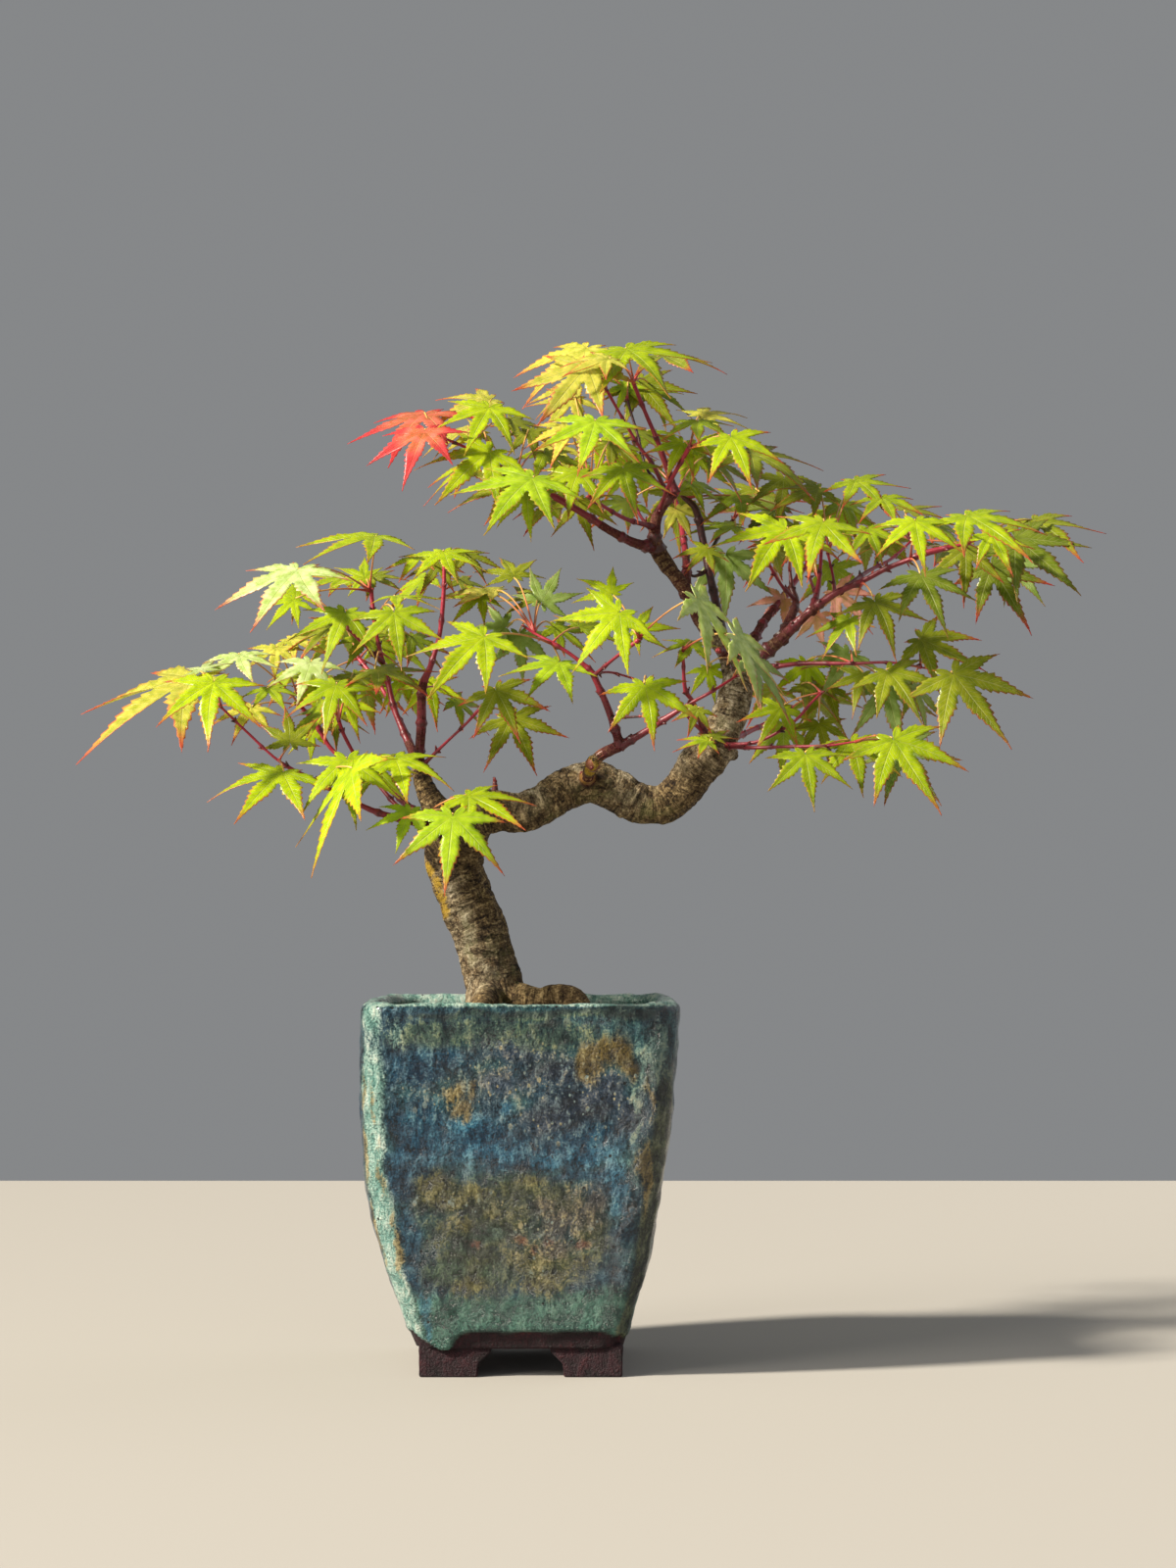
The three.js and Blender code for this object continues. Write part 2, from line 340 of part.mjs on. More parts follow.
// A point of the front view, taken back to its place in space
function place(column, row, depth) {
  const pitch = Math.atan((HORIZON_ROW - VIEW_ROW) / VIEW_FOCAL);
  const forward = new THREE.Vector3(0, Math.cos(pitch), Math.sin(pitch));
  const up = new THREE.Vector3(0, -Math.sin(pitch), Math.cos(pitch));
  const sight = forward.multiplyScalar(VIEW_FOCAL);
  sight.add(new THREE.Vector3(column - VIEW_COLUMN, 0, 0));
  sight.addScaledVector(up, VIEW_ROW - row);
  const eye = new THREE.Vector3(0, -EYE_DISTANCE, EYE_HEIGHT);
  return eye.addScaledVector(sight, (depth + EYE_DISTANCE) / sight.y);
}

// A closed body through rings of the same number of points, capped at both ends
function loft(rings) {
  const count = rings[0].length;
  const points = rings.flat();
  const faces = [];
  for (let r = 0; r + 1 < rings.length; r += 1) {
    for (let i = 0; i < count; i += 1) {
      const a = r * count + i;
      const b = r * count + ((i + 1) % count);
      faces.push(a, b, b + count, a, b + count, a + count);
    }
  }
  const centre = (ring) => {
    const sum = new THREE.Vector3();
    ring.forEach((p) => sum.add(p));
    return sum.divideScalar(count);
  };
  const first = points.length;
  points.push(centre(rings[0]), centre(rings.at(-1)));
  const last = (rings.length - 1) * count;
  for (let i = 0; i < count; i += 1) {
    const next = (i + 1) % count;
    faces.push(first, next, i, first + 1, last + i, last + next);
  }
  const geometry = new THREE.BufferGeometry().setFromPoints(points);
  geometry.setIndex(faces);
  return geometry;
}

function toSolid(geometry) {
  let bare = geometry.clone();
  bare.deleteAttribute('normal');
  bare.deleteAttribute('uv');
  bare = mergeVertices(bare, 1e-4);
  const vertProperties = new Float32Array(bare.attributes.position.array);
  const triVerts = new Uint32Array(bare.index.array);
  return new wasm.Manifold(new wasm.Mesh({ numProp: 3, vertProperties, triVerts }));
}

function toMesh(name, solid, material) {
  const { vertProperties, triVerts } = solid.getMesh();
  const geometry = new THREE.BufferGeometry();
  geometry.setAttribute('position', new THREE.BufferAttribute(vertProperties, 3));
  geometry.setIndex(new THREE.BufferAttribute(triVerts, 1));
  const mesh = new THREE.Mesh(geometry, material);
  mesh.name = name;
  return mesh;
}

function addUp(solids) {
  return solids.reduce((sum, solid) => sum.add(solid));
}

function boxSolid(low, high) {
  const size = high.map((v, i) => v - low[i]);
  const box = new THREE.BoxGeometry(...size);
  box.translate(...low.map((v, i) => v + size[i] / 2));
  return toSolid(box);
}

// A tube through points, each with its own radius
function tube(points, radii, sides) {
  const rings = [];
  let across = new THREE.Vector3(0, 1, 0);
  points.forEach((point, i) => {
    const before = points[Math.max(i - 1, 0)];
    const after = points[Math.min(i + 1, points.length - 1)];
    const along = after.clone().sub(before).normalize();
    across = across.clone().addScaledVector(along, -across.dot(along)).normalize();
    const third = along.clone().cross(across);
    const ring = [];
    for (let s = 0; s < sides; s += 1) {
      const turn = (2 * Math.PI * s) / sides;
      const p = point.clone();
      p.addScaledVector(across, radii[i] * Math.cos(turn));
      p.addScaledVector(third, radii[i] * Math.sin(turn));
      ring.push(p);
    }
    rings.push(ring);
  });
  return toSolid(loft(rings));
}

// The pot: one fired piece with its four feet and a hole in its floor

function potHalf(z) {
  return POT_RIM_HALF - POT_TAPER * (1 - z / POT_HEIGHT) ** POT_TAPER_POWER;
}

function roundedSquare(half, z) {
  const corner = half * POT_CORNER;
  const flat = half - corner;
  const ring = [];
  const steps = 3;
  [[1, 1], [-1, 1], [-1, -1], [1, -1]].forEach(([sx, sy], quarter) => {
    for (let step = 0; step <= steps; step += 1) {
      const turn = (quarter + step / steps) * (Math.PI / 2);
      const x = sx * flat + corner * Math.cos(turn);
      const y = sy * flat + corner * Math.sin(turn);
      ring.push(new THREE.Vector3(POT_X + x, y, z));
    }
  });
  return ring;
}

function buildPot() {
  const levels = [...POT_LEVELS, POT_HEIGHT - POT_LIP];
  const rings = [roundedSquare(potHalf(FOOT_HEIGHT) - POT_EASE, FOOT_HEIGHT)];
  levels.forEach((z) => rings.push(roundedSquare(potHalf(z), z)));
  rings.push(roundedSquare(POT_RIM_HALF - POT_EASE, POT_HEIGHT));
  rings.push(roundedSquare(POT_RIM_HALF - POT_WALL + POT_EASE, POT_HEIGHT));
  levels.reverse().filter((z) => z > FLOOR_TOP).forEach((z) => {
    rings.push(roundedSquare(potHalf(z) - POT_WALL, z));
  });
  rings.push(roundedSquare(potHalf(FLOOR_TOP) - POT_WALL - POT_EASE, FLOOR_TOP));
  const body = toSolid(loft(rings));

  const feet = [];
  for (const sx of [-1, 1]) {
    for (const sy of [-1, 1]) {
      const leg = (lengthX, lengthY) => {
        const a = [POT_X + sx * (FOOT_HALF - lengthX), POT_X + sx * FOOT_HALF];
        const b = [sy * (FOOT_HALF - lengthY), sy * FOOT_HALF];
        return boxSolid([Math.min(...a), Math.min(...b), 0],
          [Math.max(...a), Math.max(...b), FOOT_HEIGHT + 1]);
      };
      feet.push(leg(FOOT_SIZE, FOOT_THICK).add(leg(FOOT_THICK, FOOT_SIZE)));
    }
  }
  const through = 3 * FLOOR_TOP;
  const drain = new THREE.CylinderGeometry(DRAIN_RADIUS, DRAIN_RADIUS, through, DRAIN_SIDES);
  drain.rotateX(Math.PI / 2);
  drain.translate(POT_X, 0, FLOOR_TOP);
  return addUp([body, ...feet]).subtract(toSolid(drain));
}

// The drainage mesh over the hole, and the wire that clips it down

function buildDrainageMesh() {
  const low = FLOOR_TOP + GAP;
  let sheet = boxSolid([POT_X - MESH_HALF, -MESH_HALF, low],
    [POT_X + MESH_HALF, MESH_HALF, low + MESH_THICK]);
  for (let i = -1; i <= 1; i += 1) {
    for (let j = -1; j <= 1; j += 1) {
      const [x, y, h] = [POT_X + i * MESH_PITCH, j * MESH_PITCH, MESH_HOLE / 2];
      sheet = sheet.subtract(boxSolid([x - h, y - h, 0], [x + h, y + h, 2 * FLOOR_TOP]));
    }
  }
  return sheet;
}

// A staple: over the mesh, down through it and the hole, and bent out under the floor
function meshWirePoints() {
  const top = FLOOR_TOP + GAP + MESH_THICK + GAP + WIRE_RADIUS;
  const under = FOOT_HEIGHT - 2 * GAP - WIRE_RADIUS;
  const half = [[0, top], [WIRE_LEG - WIRE_BEND, top], [WIRE_LEG, top - WIRE_BEND],
    [WIRE_LEG, under + WIRE_BEND], [WIRE_LEG + WIRE_BEND, under], [WIRE_LEG + WIRE_TAIL, under]];
  const side = half.map(([x, z]) => new THREE.Vector3(POT_X + x, 0, z));
  const other = half.slice(1).map(([x, z]) => new THREE.Vector3(POT_X - x, 0, z));
  return [...other.reverse(), ...side];
}

function buildMeshWire() {
  const points = meshWirePoints();
  return tube(points, points.map(() => WIRE_RADIUS), ROUND_SIDES);
}

// The grown wood: roots, trunk, branches and twigs are one piece

// The point of a noted line that looks nearest to a spot of the front view
function nearestOn(rows, [column, row]) {
  let best = null;
  for (let i = 0; i + 1 < rows.length; i += 1) {
    for (let share = 0; share <= 1; share += 0.1) {
      const point = rows[i].map((v, k) => v + share * (rows[i + 1][k] - v));
      const away = Math.hypot(point[0] - column, point[1] - row);
      if (!best || away < best.away) best = { away, point };
    }
  }
  return best;
}

// Every stretch starts on the middle line of the wood that it grows from
function grownStretches() {
  const grown = {};
  Object.entries(WOOD).forEach(([name, rows]) => {
    const starts = Object.values(grown).map((parent) => nearestOn(parent, rows[0]));
    starts.sort((a, b) => a.away - b.away);
    grown[name] = rows;
    if (starts.length) {
      const first = [...starts[0].point.slice(0, 3), rows[0][3]];
      grown[name] = [first, ...rows.slice(1)];
    }
  });
  return grown;
}

function sidesFor(radius) {
  if (radius > TRUNK_RADIUS) return TRUNK_SIDES;
  return radius > BRANCH_RADIUS ? ROUND_SIDES : TWIG_SIDES;
}

function woodSolid(grow) {
  const stretches = Object.values(grownStretches()).map((rows) => {
    const points = rows.map(([column, row, depth]) => place(column, row, depth));
    const radii = rows.map((row) => row[3] * MM_PER_COLUMN + grow);
    return tube(points, radii, sidesFor(Math.max(...radii) - grow));
  });
  return addUp(stretches);
}

// The soil fills the pot and is mounded round the foot of the trunk

function buildSoil(wood) {
  const rings = [];
  const inner = (z) => potHalf(z) - POT_WALL - GAP;
  rings.push(roundedSquare(inner(FLOOR_TOP) - POT_EASE, FLOOR_TOP + GAP));
  const levels = POT_LEVELS.filter((z) => z > FLOOR_TOP);
  [...levels, SOIL_EDGE_Z].forEach((z) => rings.push(roundedSquare(inner(z), z)));
  const rise = SOIL_MOUND_Z - SOIL_EDGE_Z;
  SOIL_MOUND.forEach(([share, level]) => {
    rings.push(roundedSquare(inner(SOIL_EDGE_Z) * share, SOIL_EDGE_Z + rise * level));
  });
  const half = MESH_HALF + GAP;
  const overMesh = boxSolid([POT_X - half, -half, 0],
    [POT_X + half, half, FLOOR_TOP + 2 * GAP + MESH_THICK]);
  const wire = meshWirePoints();
  const overWire = tube(wire, wire.map(() => WIRE_RADIUS + GAP), ROUND_SIDES);
  return toSolid(loft(rings)).subtract(overMesh).subtract(overWire).subtract(wood);
}

// A leaf: a thin blade of pointed lobes round its base

function bladeFrame(heading, lift, swing) {
  const rad = THREE.MathUtils.degToRad;
  const face = new THREE.Vector3(0, -Math.cos(rad(lift)), Math.sin(rad(lift)));
  face.applyAxisAngle(new THREE.Vector3(0, 0, 1), rad(swing));
  const middle = new THREE.Vector3(Math.cos(rad(heading)), 0, Math.sin(rad(heading)));
  middle.y -= middle.dot(face) / face.y;
  middle.normalize();
  return { face, middle, side: face.clone().cross(middle) };
}

function bladePoint(base, frame, angle, reach) {
  const turn = THREE.MathUtils.degToRad(angle);
  const sag = reach.length * LEAF_DROOP * reach.share ** DROOP_POWER;
  const p = base.clone();
  p.addScaledVector(frame.middle, Math.cos(turn) * reach.length * reach.share);
  p.addScaledVector(frame.side, Math.sin(turn) * reach.length * reach.share);
  p.addScaledVector(frame.face, -DROOP_BACK * sag);
  p.z -= DROOP_DOWN * sag;
  return p;
}

// The blade is thickest at its base and thins out to its edge
function bladeSolid([column, row, depth, heading, lift, swing, noted], grow) {
  const frame = bladeFrame(heading, lift, swing);
  const length = noted * LEAF_SCALE;
  const base = place(column, row, depth);
  const outline = [...LOBES, ...NOTCHES].sort((a, b) => a[0] - b[0]);
  const rim = outline.map(([angle, share]) => {
    const wider = share + (2 * grow) / length;
    return bladePoint(base, frame, angle, { length, share: wider });
  });
  const half = LEAF_THICK / 2 + 2 * grow;
  const points = [1, -1].map((side) => base.clone().addScaledVector(frame.face, side * half));
  points.push(...rim);
  const faces = [];
  for (let i = 0; i < rim.length; i += 1) {
    const a = 2 + i;
    const b = 2 + ((i + 1) % rim.length);
    faces.push(0, a, b, 1, b, a);
  }
  const geometry = new THREE.BufferGeometry().setFromPoints(points);
  geometry.setIndex(faces);
  return toSolid(geometry);
}

// A leaf stalk rises from the bud and bends over to the blade
function petioleSolid(bud, base, grow) {
  const bend = bud.clone().lerp(base, PETIOLE_BEND);
  bend.z += PETIOLE_RISE * bud.distanceTo(base);
  const points = new THREE.QuadraticBezierCurve3(bud, bend, base).getPoints(2);
  const radii = [COLLAR_RADIUS, PETIOLE_RADIUS, PETIOLE_RADIUS].map((radius) => radius + grow);
  return tube(points, radii, PETIOLE_SIDES);
}

// A spray: a bud on the wood, with the stalks and blades that grow from it
function spraySolid(spray, grow) {
  const [column, row, depth, half] = WOOD[spray.on][spray.at];
  const seat = place(column, row, depth);
  const middle = new THREE.Vector3();
  spray.leaves.forEach((leaf) => middle.add(place(...leaf.slice(0, 3))));
  middle.divideScalar(spray.leaves.length);
  const out = middle.clone().sub(seat).normalize();
  const bud = seat.clone().addScaledVector(out, half * MM_PER_COLUMN);
  const solids = [];
  spray.leaves.forEach((leaf) => {
    const frame = bladeFrame(...leaf.slice(3, 6));
    const heel = place(...leaf.slice(0, 3)).addScaledVector(frame.middle, -PETIOLE_INSET);
    solids.push(petioleSolid(bud, heel, grow));
    solids.push(bladeSolid(leaf, grow));
  });
  return addUp(solids);
}

function largest(solid) {
  return solid.decompose().reduce((a, b) => (b.volume() > a.volume() ? b : a));
}

function buildSprays(keepClear) {
  let taken = keepClear;
  return SPRAYS.map((spray) => {
    const solid = largest(spraySolid(spray, 0).subtract(taken));
    taken = taken.add(spraySolid(spray, GAP));
    const tint = LEAF_TINTS[spray.leaves[0][7]];
    return toMesh(`leaves_${spray.on}_${spray.at}`, solid, finish(tint, 0.55));
  });
}

const maple = new THREE.Group();
const wood = woodSolid(0);
const woodClear = woodSolid(GAP);
maple.add(toMesh('pot', buildPot(), finish(0x3f6a70, 0.45)));
maple.add(toMesh('drainage_mesh', buildDrainageMesh(), finish(0x20242a, 0.6)));
maple.add(toMesh('mesh_wire', buildMeshWire(), finish(0x9a9da0, 0.4)));
maple.add(toMesh('soil', buildSoil(woodClear), finish(0x6b5440, 0.95)));
maple.add(toMesh('trunk', wood, finish(0x6a5848, 0.85)));
buildSprays(woodClear).forEach((mesh) => maple.add(mesh));

export default maple;
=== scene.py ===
# %% [markdown]
# # A coral bark maple grown as a small bonsai
#
# This lesson builds a young Japanese maple with coral red twigs, which stands in a square glazed
# pot. The tree is 36 cm high with its pot. We follow the way the real thing came about: first
# the view it is seen from, then the grown wood, the leaves, the fired pot and last the soil.
# The frame gives us the measured solids that each finished piece stands for.

import json
import math
import random

import bmesh
import bpy
import numpy as np
from mathutils import Euler, Matrix, Vector, kdtree, noise

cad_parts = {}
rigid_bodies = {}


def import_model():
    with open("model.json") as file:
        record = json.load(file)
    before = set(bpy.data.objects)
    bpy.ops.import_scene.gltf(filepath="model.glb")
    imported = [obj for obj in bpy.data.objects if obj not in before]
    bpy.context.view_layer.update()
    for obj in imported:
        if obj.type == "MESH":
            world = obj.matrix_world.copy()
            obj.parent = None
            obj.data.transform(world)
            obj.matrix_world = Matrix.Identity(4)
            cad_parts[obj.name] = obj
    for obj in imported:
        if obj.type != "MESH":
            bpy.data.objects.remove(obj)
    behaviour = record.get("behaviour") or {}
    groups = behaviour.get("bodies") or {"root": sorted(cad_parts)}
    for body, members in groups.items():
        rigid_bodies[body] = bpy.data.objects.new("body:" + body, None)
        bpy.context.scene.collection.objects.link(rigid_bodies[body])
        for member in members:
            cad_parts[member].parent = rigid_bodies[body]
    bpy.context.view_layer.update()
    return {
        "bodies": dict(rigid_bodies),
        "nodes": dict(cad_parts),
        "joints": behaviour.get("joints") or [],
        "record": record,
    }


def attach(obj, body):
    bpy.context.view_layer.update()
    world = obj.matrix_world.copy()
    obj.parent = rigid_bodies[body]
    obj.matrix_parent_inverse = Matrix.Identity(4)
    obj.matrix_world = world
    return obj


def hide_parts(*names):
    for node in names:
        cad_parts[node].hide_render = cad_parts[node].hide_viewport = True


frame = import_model()
MM = 0.001

# %% [markdown]
# ## Colours and materials
#
# Colours are written the way a colour picker shows them, as sRGB hex. Blender's shaders work in
# linear light, so one function converts them. A material is a net of shader nodes, and the class
# below keeps that net short to write. Each of its methods adds one kind of node and returns the
# node's output, which the next node can take in.

# %% Colours
def colour(text, shade=1.0):
    """Linear colour with alpha from an sRGB hex text, darkened or lightened by a factor."""
    parts = [int(text[i:i + 2], 16) / 255 for i in (1, 3, 5)]
    linear = [c / 12.92 if c < 0.04045 else ((c + 0.055) / 1.055) ** 2.4 for c in parts]
    return (*[c * shade for c in linear], 1.0)


def per_mm(size):
    """Scale of a pattern whose features are this many mm wide."""
    return 1 / (size * MM)


print("leaf green in linear light:", [round(c, 3) for c in colour("#8fb52e")])

# %% Finishes
class Finish:
    """A material in the making. An input takes a constant or the output of another node."""

    def __init__(self, name, base, roughness, specular):
        self.material = bpy.data.materials.new(name)
        self.material.use_nodes = True
        self.tree = self.material.node_tree
        self.surface = self.tree.nodes["Principled BSDF"]
        self.fill(self.surface, {"Base Color": colour(base), "Roughness": roughness,
                                 "Specular IOR Level": specular})

    def fill(self, node, inputs):
        for name, value in inputs.items():
            if isinstance(value, bpy.types.NodeSocket):
                self.tree.links.new(value, node.inputs[name])
            else:
                node.inputs[name].default_value = value

    def node(self, kind, settings, inputs):
        made = self.tree.nodes.new("ShaderNode" + kind)
        for name, value in settings.items():
            setattr(made, name, value)
        self.fill(made, inputs)
        return made

    def here(self):
        """The place on the object, in metres."""
        return self.node("TexCoord", {}, {}).outputs["Object"]

    def painted(self, name, output="Fac"):
        """The value or colour of an attribute that the mesh carries."""
        return self.node("Attribute", {"attribute_name": name}, {}).outputs[output]

    def math(self, operation, *values):
        return self.node("Math", {"operation": operation}, dict(enumerate(values))).outputs[0]

    def times(self, first, second):
        return self.math("MULTIPLY", first, second)

    def total(self, *weighed):
        """The sum of some values, each times its weight."""
        result = 0.0
        for value, weight in weighed:
            result = self.math("MULTIPLY_ADD", value, weight, result)
        return result

    def between(self, value, start, end):
        """0 before the start and 1 past the end, with a soft rise between them."""
        inputs = {0: value, 1: start, 2: end, 3: 0.0, 4: 1.0}
        return self.node("MapRange", {"interpolation_type": "SMOOTHSTEP"}, inputs).outputs[0]

    def zigzag(self, value):
        """0 half way between two whole numbers, rising to 0.5 at each of them."""
        return self.math("ABSOLUTE", self.math("SUBTRACT", self.math("FRACT", value), 0.5))

    def clouds(self, where, size, detail=3.0, rough=0.55):
        """Soft irregular noise from 0 to 1, with features of this many mm."""
        inputs = {"Vector": where, "Scale": per_mm(size), "Detail": detail, "Roughness": rough}
        return self.node("TexNoise", {}, inputs).outputs[0]

    def mix(self, share, first, second, blend="MIX"):
        """Two colours, hex texts or outputs, mixed by a share."""
        first, second = [colour(c) if isinstance(c, str) else c for c in (first, second)]
        settings = {"data_type": "RGBA", "blend_type": blend}
        return self.node("Mix", settings, {0: share, 6: first, 7: second}).outputs[2]

    def ramp(self, value, places, texts):
        """Colours along a value, given as places and as hex texts in one line."""
        made = self.node("ValToRGB", {}, {0: value})
        elements = made.color_ramp.elements
        while len(elements) < len(places):
            elements.new(1.0)
        for element, position, text in zip(elements, places, texts.split()):
            element.position = position
            element.color = colour(text)
        return made.outputs[0]

    def bump(self, height, distance):
        """Small relief, where a height of 1 stands out by this distance in metres."""
        made = self.node("Bump", {}, {"Height": height, "Distance": distance, "Strength": 1.0})
        self.fill(self.surface, {"Normal": made.outputs[0]})


print("a finish can use:", ", ".join(name for name in vars(Finish) if name[0] != "_"))

# %% [markdown]
# ## The view
#
# The photo was taken from a little more than a metre away. The camera was 3 cm above the pot's
# rim and tilted up by about two and a half degrees. The horizon, the pot's rim and its foot fix
# these numbers. Every point of the plant is noted as a column and a row of that view, 1200 by
# 1600, plus a depth in mm behind the middle plane. The function `place` follows the line of sight
# through that spot down to the noted depth, so the plant falls into place from the front and is
# still a body in space. A second function links everything that we make to the scene.

# %% Camera and the way from the view into space
EYE = Vector((0, -1037, 158))  # in mm
VIEW_FOCAL = 2998
VIEW_COLUMN = 600
VIEW_ROW = 800
HORIZON_ROW = 929
SENSOR_MM = 36
COLUMN_MM = -EYE.y / VIEW_FOCAL
PITCH = math.atan((HORIZON_ROW - VIEW_ROW) / VIEW_FOCAL)
FORWARD = Vector((0, math.cos(PITCH), math.sin(PITCH)))
UPWARD = Vector((0, -math.sin(PITCH), math.cos(PITCH)))


def place(column, row, depth):
    """The point, in metres, that is seen at this column and row at this depth in mm."""
    sight = FORWARD * VIEW_FOCAL + Vector((column - VIEW_COLUMN, 0, 0)) + UPWARD * (VIEW_ROW - row)
    return (EYE + sight * ((depth - EYE.y) / sight.y)) * MM


def shown(name, data):
    """An object in the scene, made of a mesh, a light or a camera."""
    made = bpy.data.objects.new(name, data)
    bpy.context.collection.objects.link(made)
    return made


lens = bpy.data.cameras.new("view")
lens.lens = VIEW_FOCAL / (2 * VIEW_ROW) * SENSOR_MM
lens.sensor_width = SENSOR_MM
camera = shown("view", lens)
camera.location = EYE * MM
camera.rotation_euler = (math.pi / 2 + PITCH, 0, 0)
bpy.context.scene.camera = camera
print("lens", round(lens.lens, 2), "mm; the middle of the view meets the trunk's plane at",
      [round(v, 3) for v in place(VIEW_COLUMN, VIEW_ROW, 0)])

# %% [markdown]
# ## Light and floor
#
# Warm sun falls in from the left, from in front of the tree and from above, so it grazes the
# pot's face and lights the leaves. A small soft light at the front left whitens the pot's edge.
# Two weak wide lights, from the front and from the right behind the tree, open the shadows. The
# floor is plain and pale, so nothing of the object is lost against it.

# %% The floor
FLOOR_HALF = 0.69


def mesh_of(name, bm):
    """The mesh that a bmesh holds. The bmesh is used up."""
    mesh = bpy.data.meshes.new(name)
    bm.to_mesh(mesh)
    bm.free()
    return mesh


bm = bmesh.new()
bmesh.ops.create_grid(bm, x_segments=1, y_segments=1, size=FLOOR_HALF)
floor = shown("floor", mesh_of("floor", bm))
floor.data.materials.append(Finish("pale_floor", "#aaa69f", 0.9, 0.1).material)
print("floor:", 2 * FLOOR_HALF, "m wide")

# %% Lights and sky
SUN_WAY = (1.0, 0.42, -0.78)
SUN_POWER = 7.5
SUN_WIDTH = 6  # degrees, which softens the shadows
SKY_POWER = 0.6
SOFT_LIGHTS = [  # name, place, height it aims at, size, power, tint
    ("softbox", (-1.1, -0.9, 0.75), 0.15, 0.5, 9, "#fff9f0"),
    ("room", (0.2, -1.6, 0.7), 0.18, 1.6, 2, "#f4f6ff"),
    ("far_side", (1.4, 0.8, 0.8), 0.18, 1.4, 5, "#f4f6ff")]


def light(name, kind, spot, way, power, tint):
    """A light at a spot that shines one way."""
    data = bpy.data.lights.new(name, kind)
    data.energy = power
    data.color = colour(tint)[:3]
    lamp = shown(name, data)
    lamp.location = spot
    lamp.rotation_euler = way.to_track_quat("-Z", "Y").to_euler()
    return data


sun = light("window", "SUN", (0, 0, 0), Vector(SUN_WAY), SUN_POWER, "#fff6e6")
sun.angle = math.radians(SUN_WIDTH)
for name, spot, aim, size, power, tint in SOFT_LIGHTS:
    light(name, "AREA", spot, Vector((0, 0, aim)) - Vector(spot), power, tint).size = size
world = bpy.data.worlds.new("studio")
world.use_nodes = True
sky = world.node_tree.nodes["Background"]
sky.inputs["Color"].default_value = colour("#a9abad")
sky.inputs["Strength"].default_value = SKY_POWER
bpy.context.scene.world = world
bpy.context.scene.view_settings.view_transform = "Standard"

# %% [markdown]
# ## Making pieces
#
# Each finished piece is one mesh that already lies in its place. It rides on the frame's root,
# and the solids that it stands for are hidden. All round things here, from a root to a leaf stalk,
# are tubes with changing radius. A tube starts as a circle at its first point. It is extruded from
# point to point, and each new ring is turned square to the way it is going.

# %% Pieces
def piece(name, bm, materials, nodes):
    """Turns a bmesh into a finished piece that stands for some solids."""
    bmesh.ops.recalc_face_normals(bm, faces=bm.faces)
    made = shown(name, mesh_of(name, bm))
    for entry in materials:
        made.data.materials.append(entry)
    made.data.shade_smooth()
    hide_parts(*nodes)
    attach(made, "root")
    return made


# %% Tubes
def next_ring(bm, ring):
    """Extrudes a ring of vertices. Returns the new ring, in the same order."""
    edges = dict.fromkeys(e for v in ring for e in v.link_edges if e.other_vert(v) in ring)
    grown = bmesh.ops.extrude_edge_only(bm, edges=list(edges))["geom"]
    fresh = {v for v in grown if isinstance(v, bmesh.types.BMVert)}
    return [next(e.other_vert(v) for e in v.link_edges if e.other_vert(v) in fresh) for v in ring]


def tube(bm, points, radii, sides):
    """A closed tube. Returns its rings of vertices, first to last."""
    ring = bmesh.ops.create_circle(bm, cap_ends=True, radius=1, segments=sides)["verts"]
    across = Vector((0, 1, 0))
    rings = []
    for i, (point, radius) in enumerate(zip(points, radii)):
        along = (points[min(i + 1, len(points) - 1)] - points[max(i - 1, 0)]).normalized()
        across = (across - along * across.dot(along)).normalized()
        third = along.cross(across)
        ring = next_ring(bm, ring) if i else ring
        for s, vert in enumerate(ring):
            turn = 2 * math.pi * s / sides
            vert.co = point + (across * math.cos(turn) + third * math.sin(turn)) * radius
        rings.append(ring)
    bmesh.ops.contextual_create(bm, geom=ring)
    return rings


sample = bmesh.new()
tube(sample, [Vector((0, 0, 0)), Vector((0, 0, 1))], [1, 1], 6)
print("a tube with six sides and two rings has", len(sample.faces), "faces")
sample.free()

# %% [markdown]
# ## The grown wood
#
# Roots, trunk, branches and twigs are one grown piece, noted stretch by stretch from its foot to
# its tip. The rows of a stretch hold column, row, depth and half the width in columns. Old wood
# is thick, grey brown and ringed with wrinkles where it was bent. Young shoots are the coral red
# that gives this maple its name, and a few shoots have died back and turned nearly black.

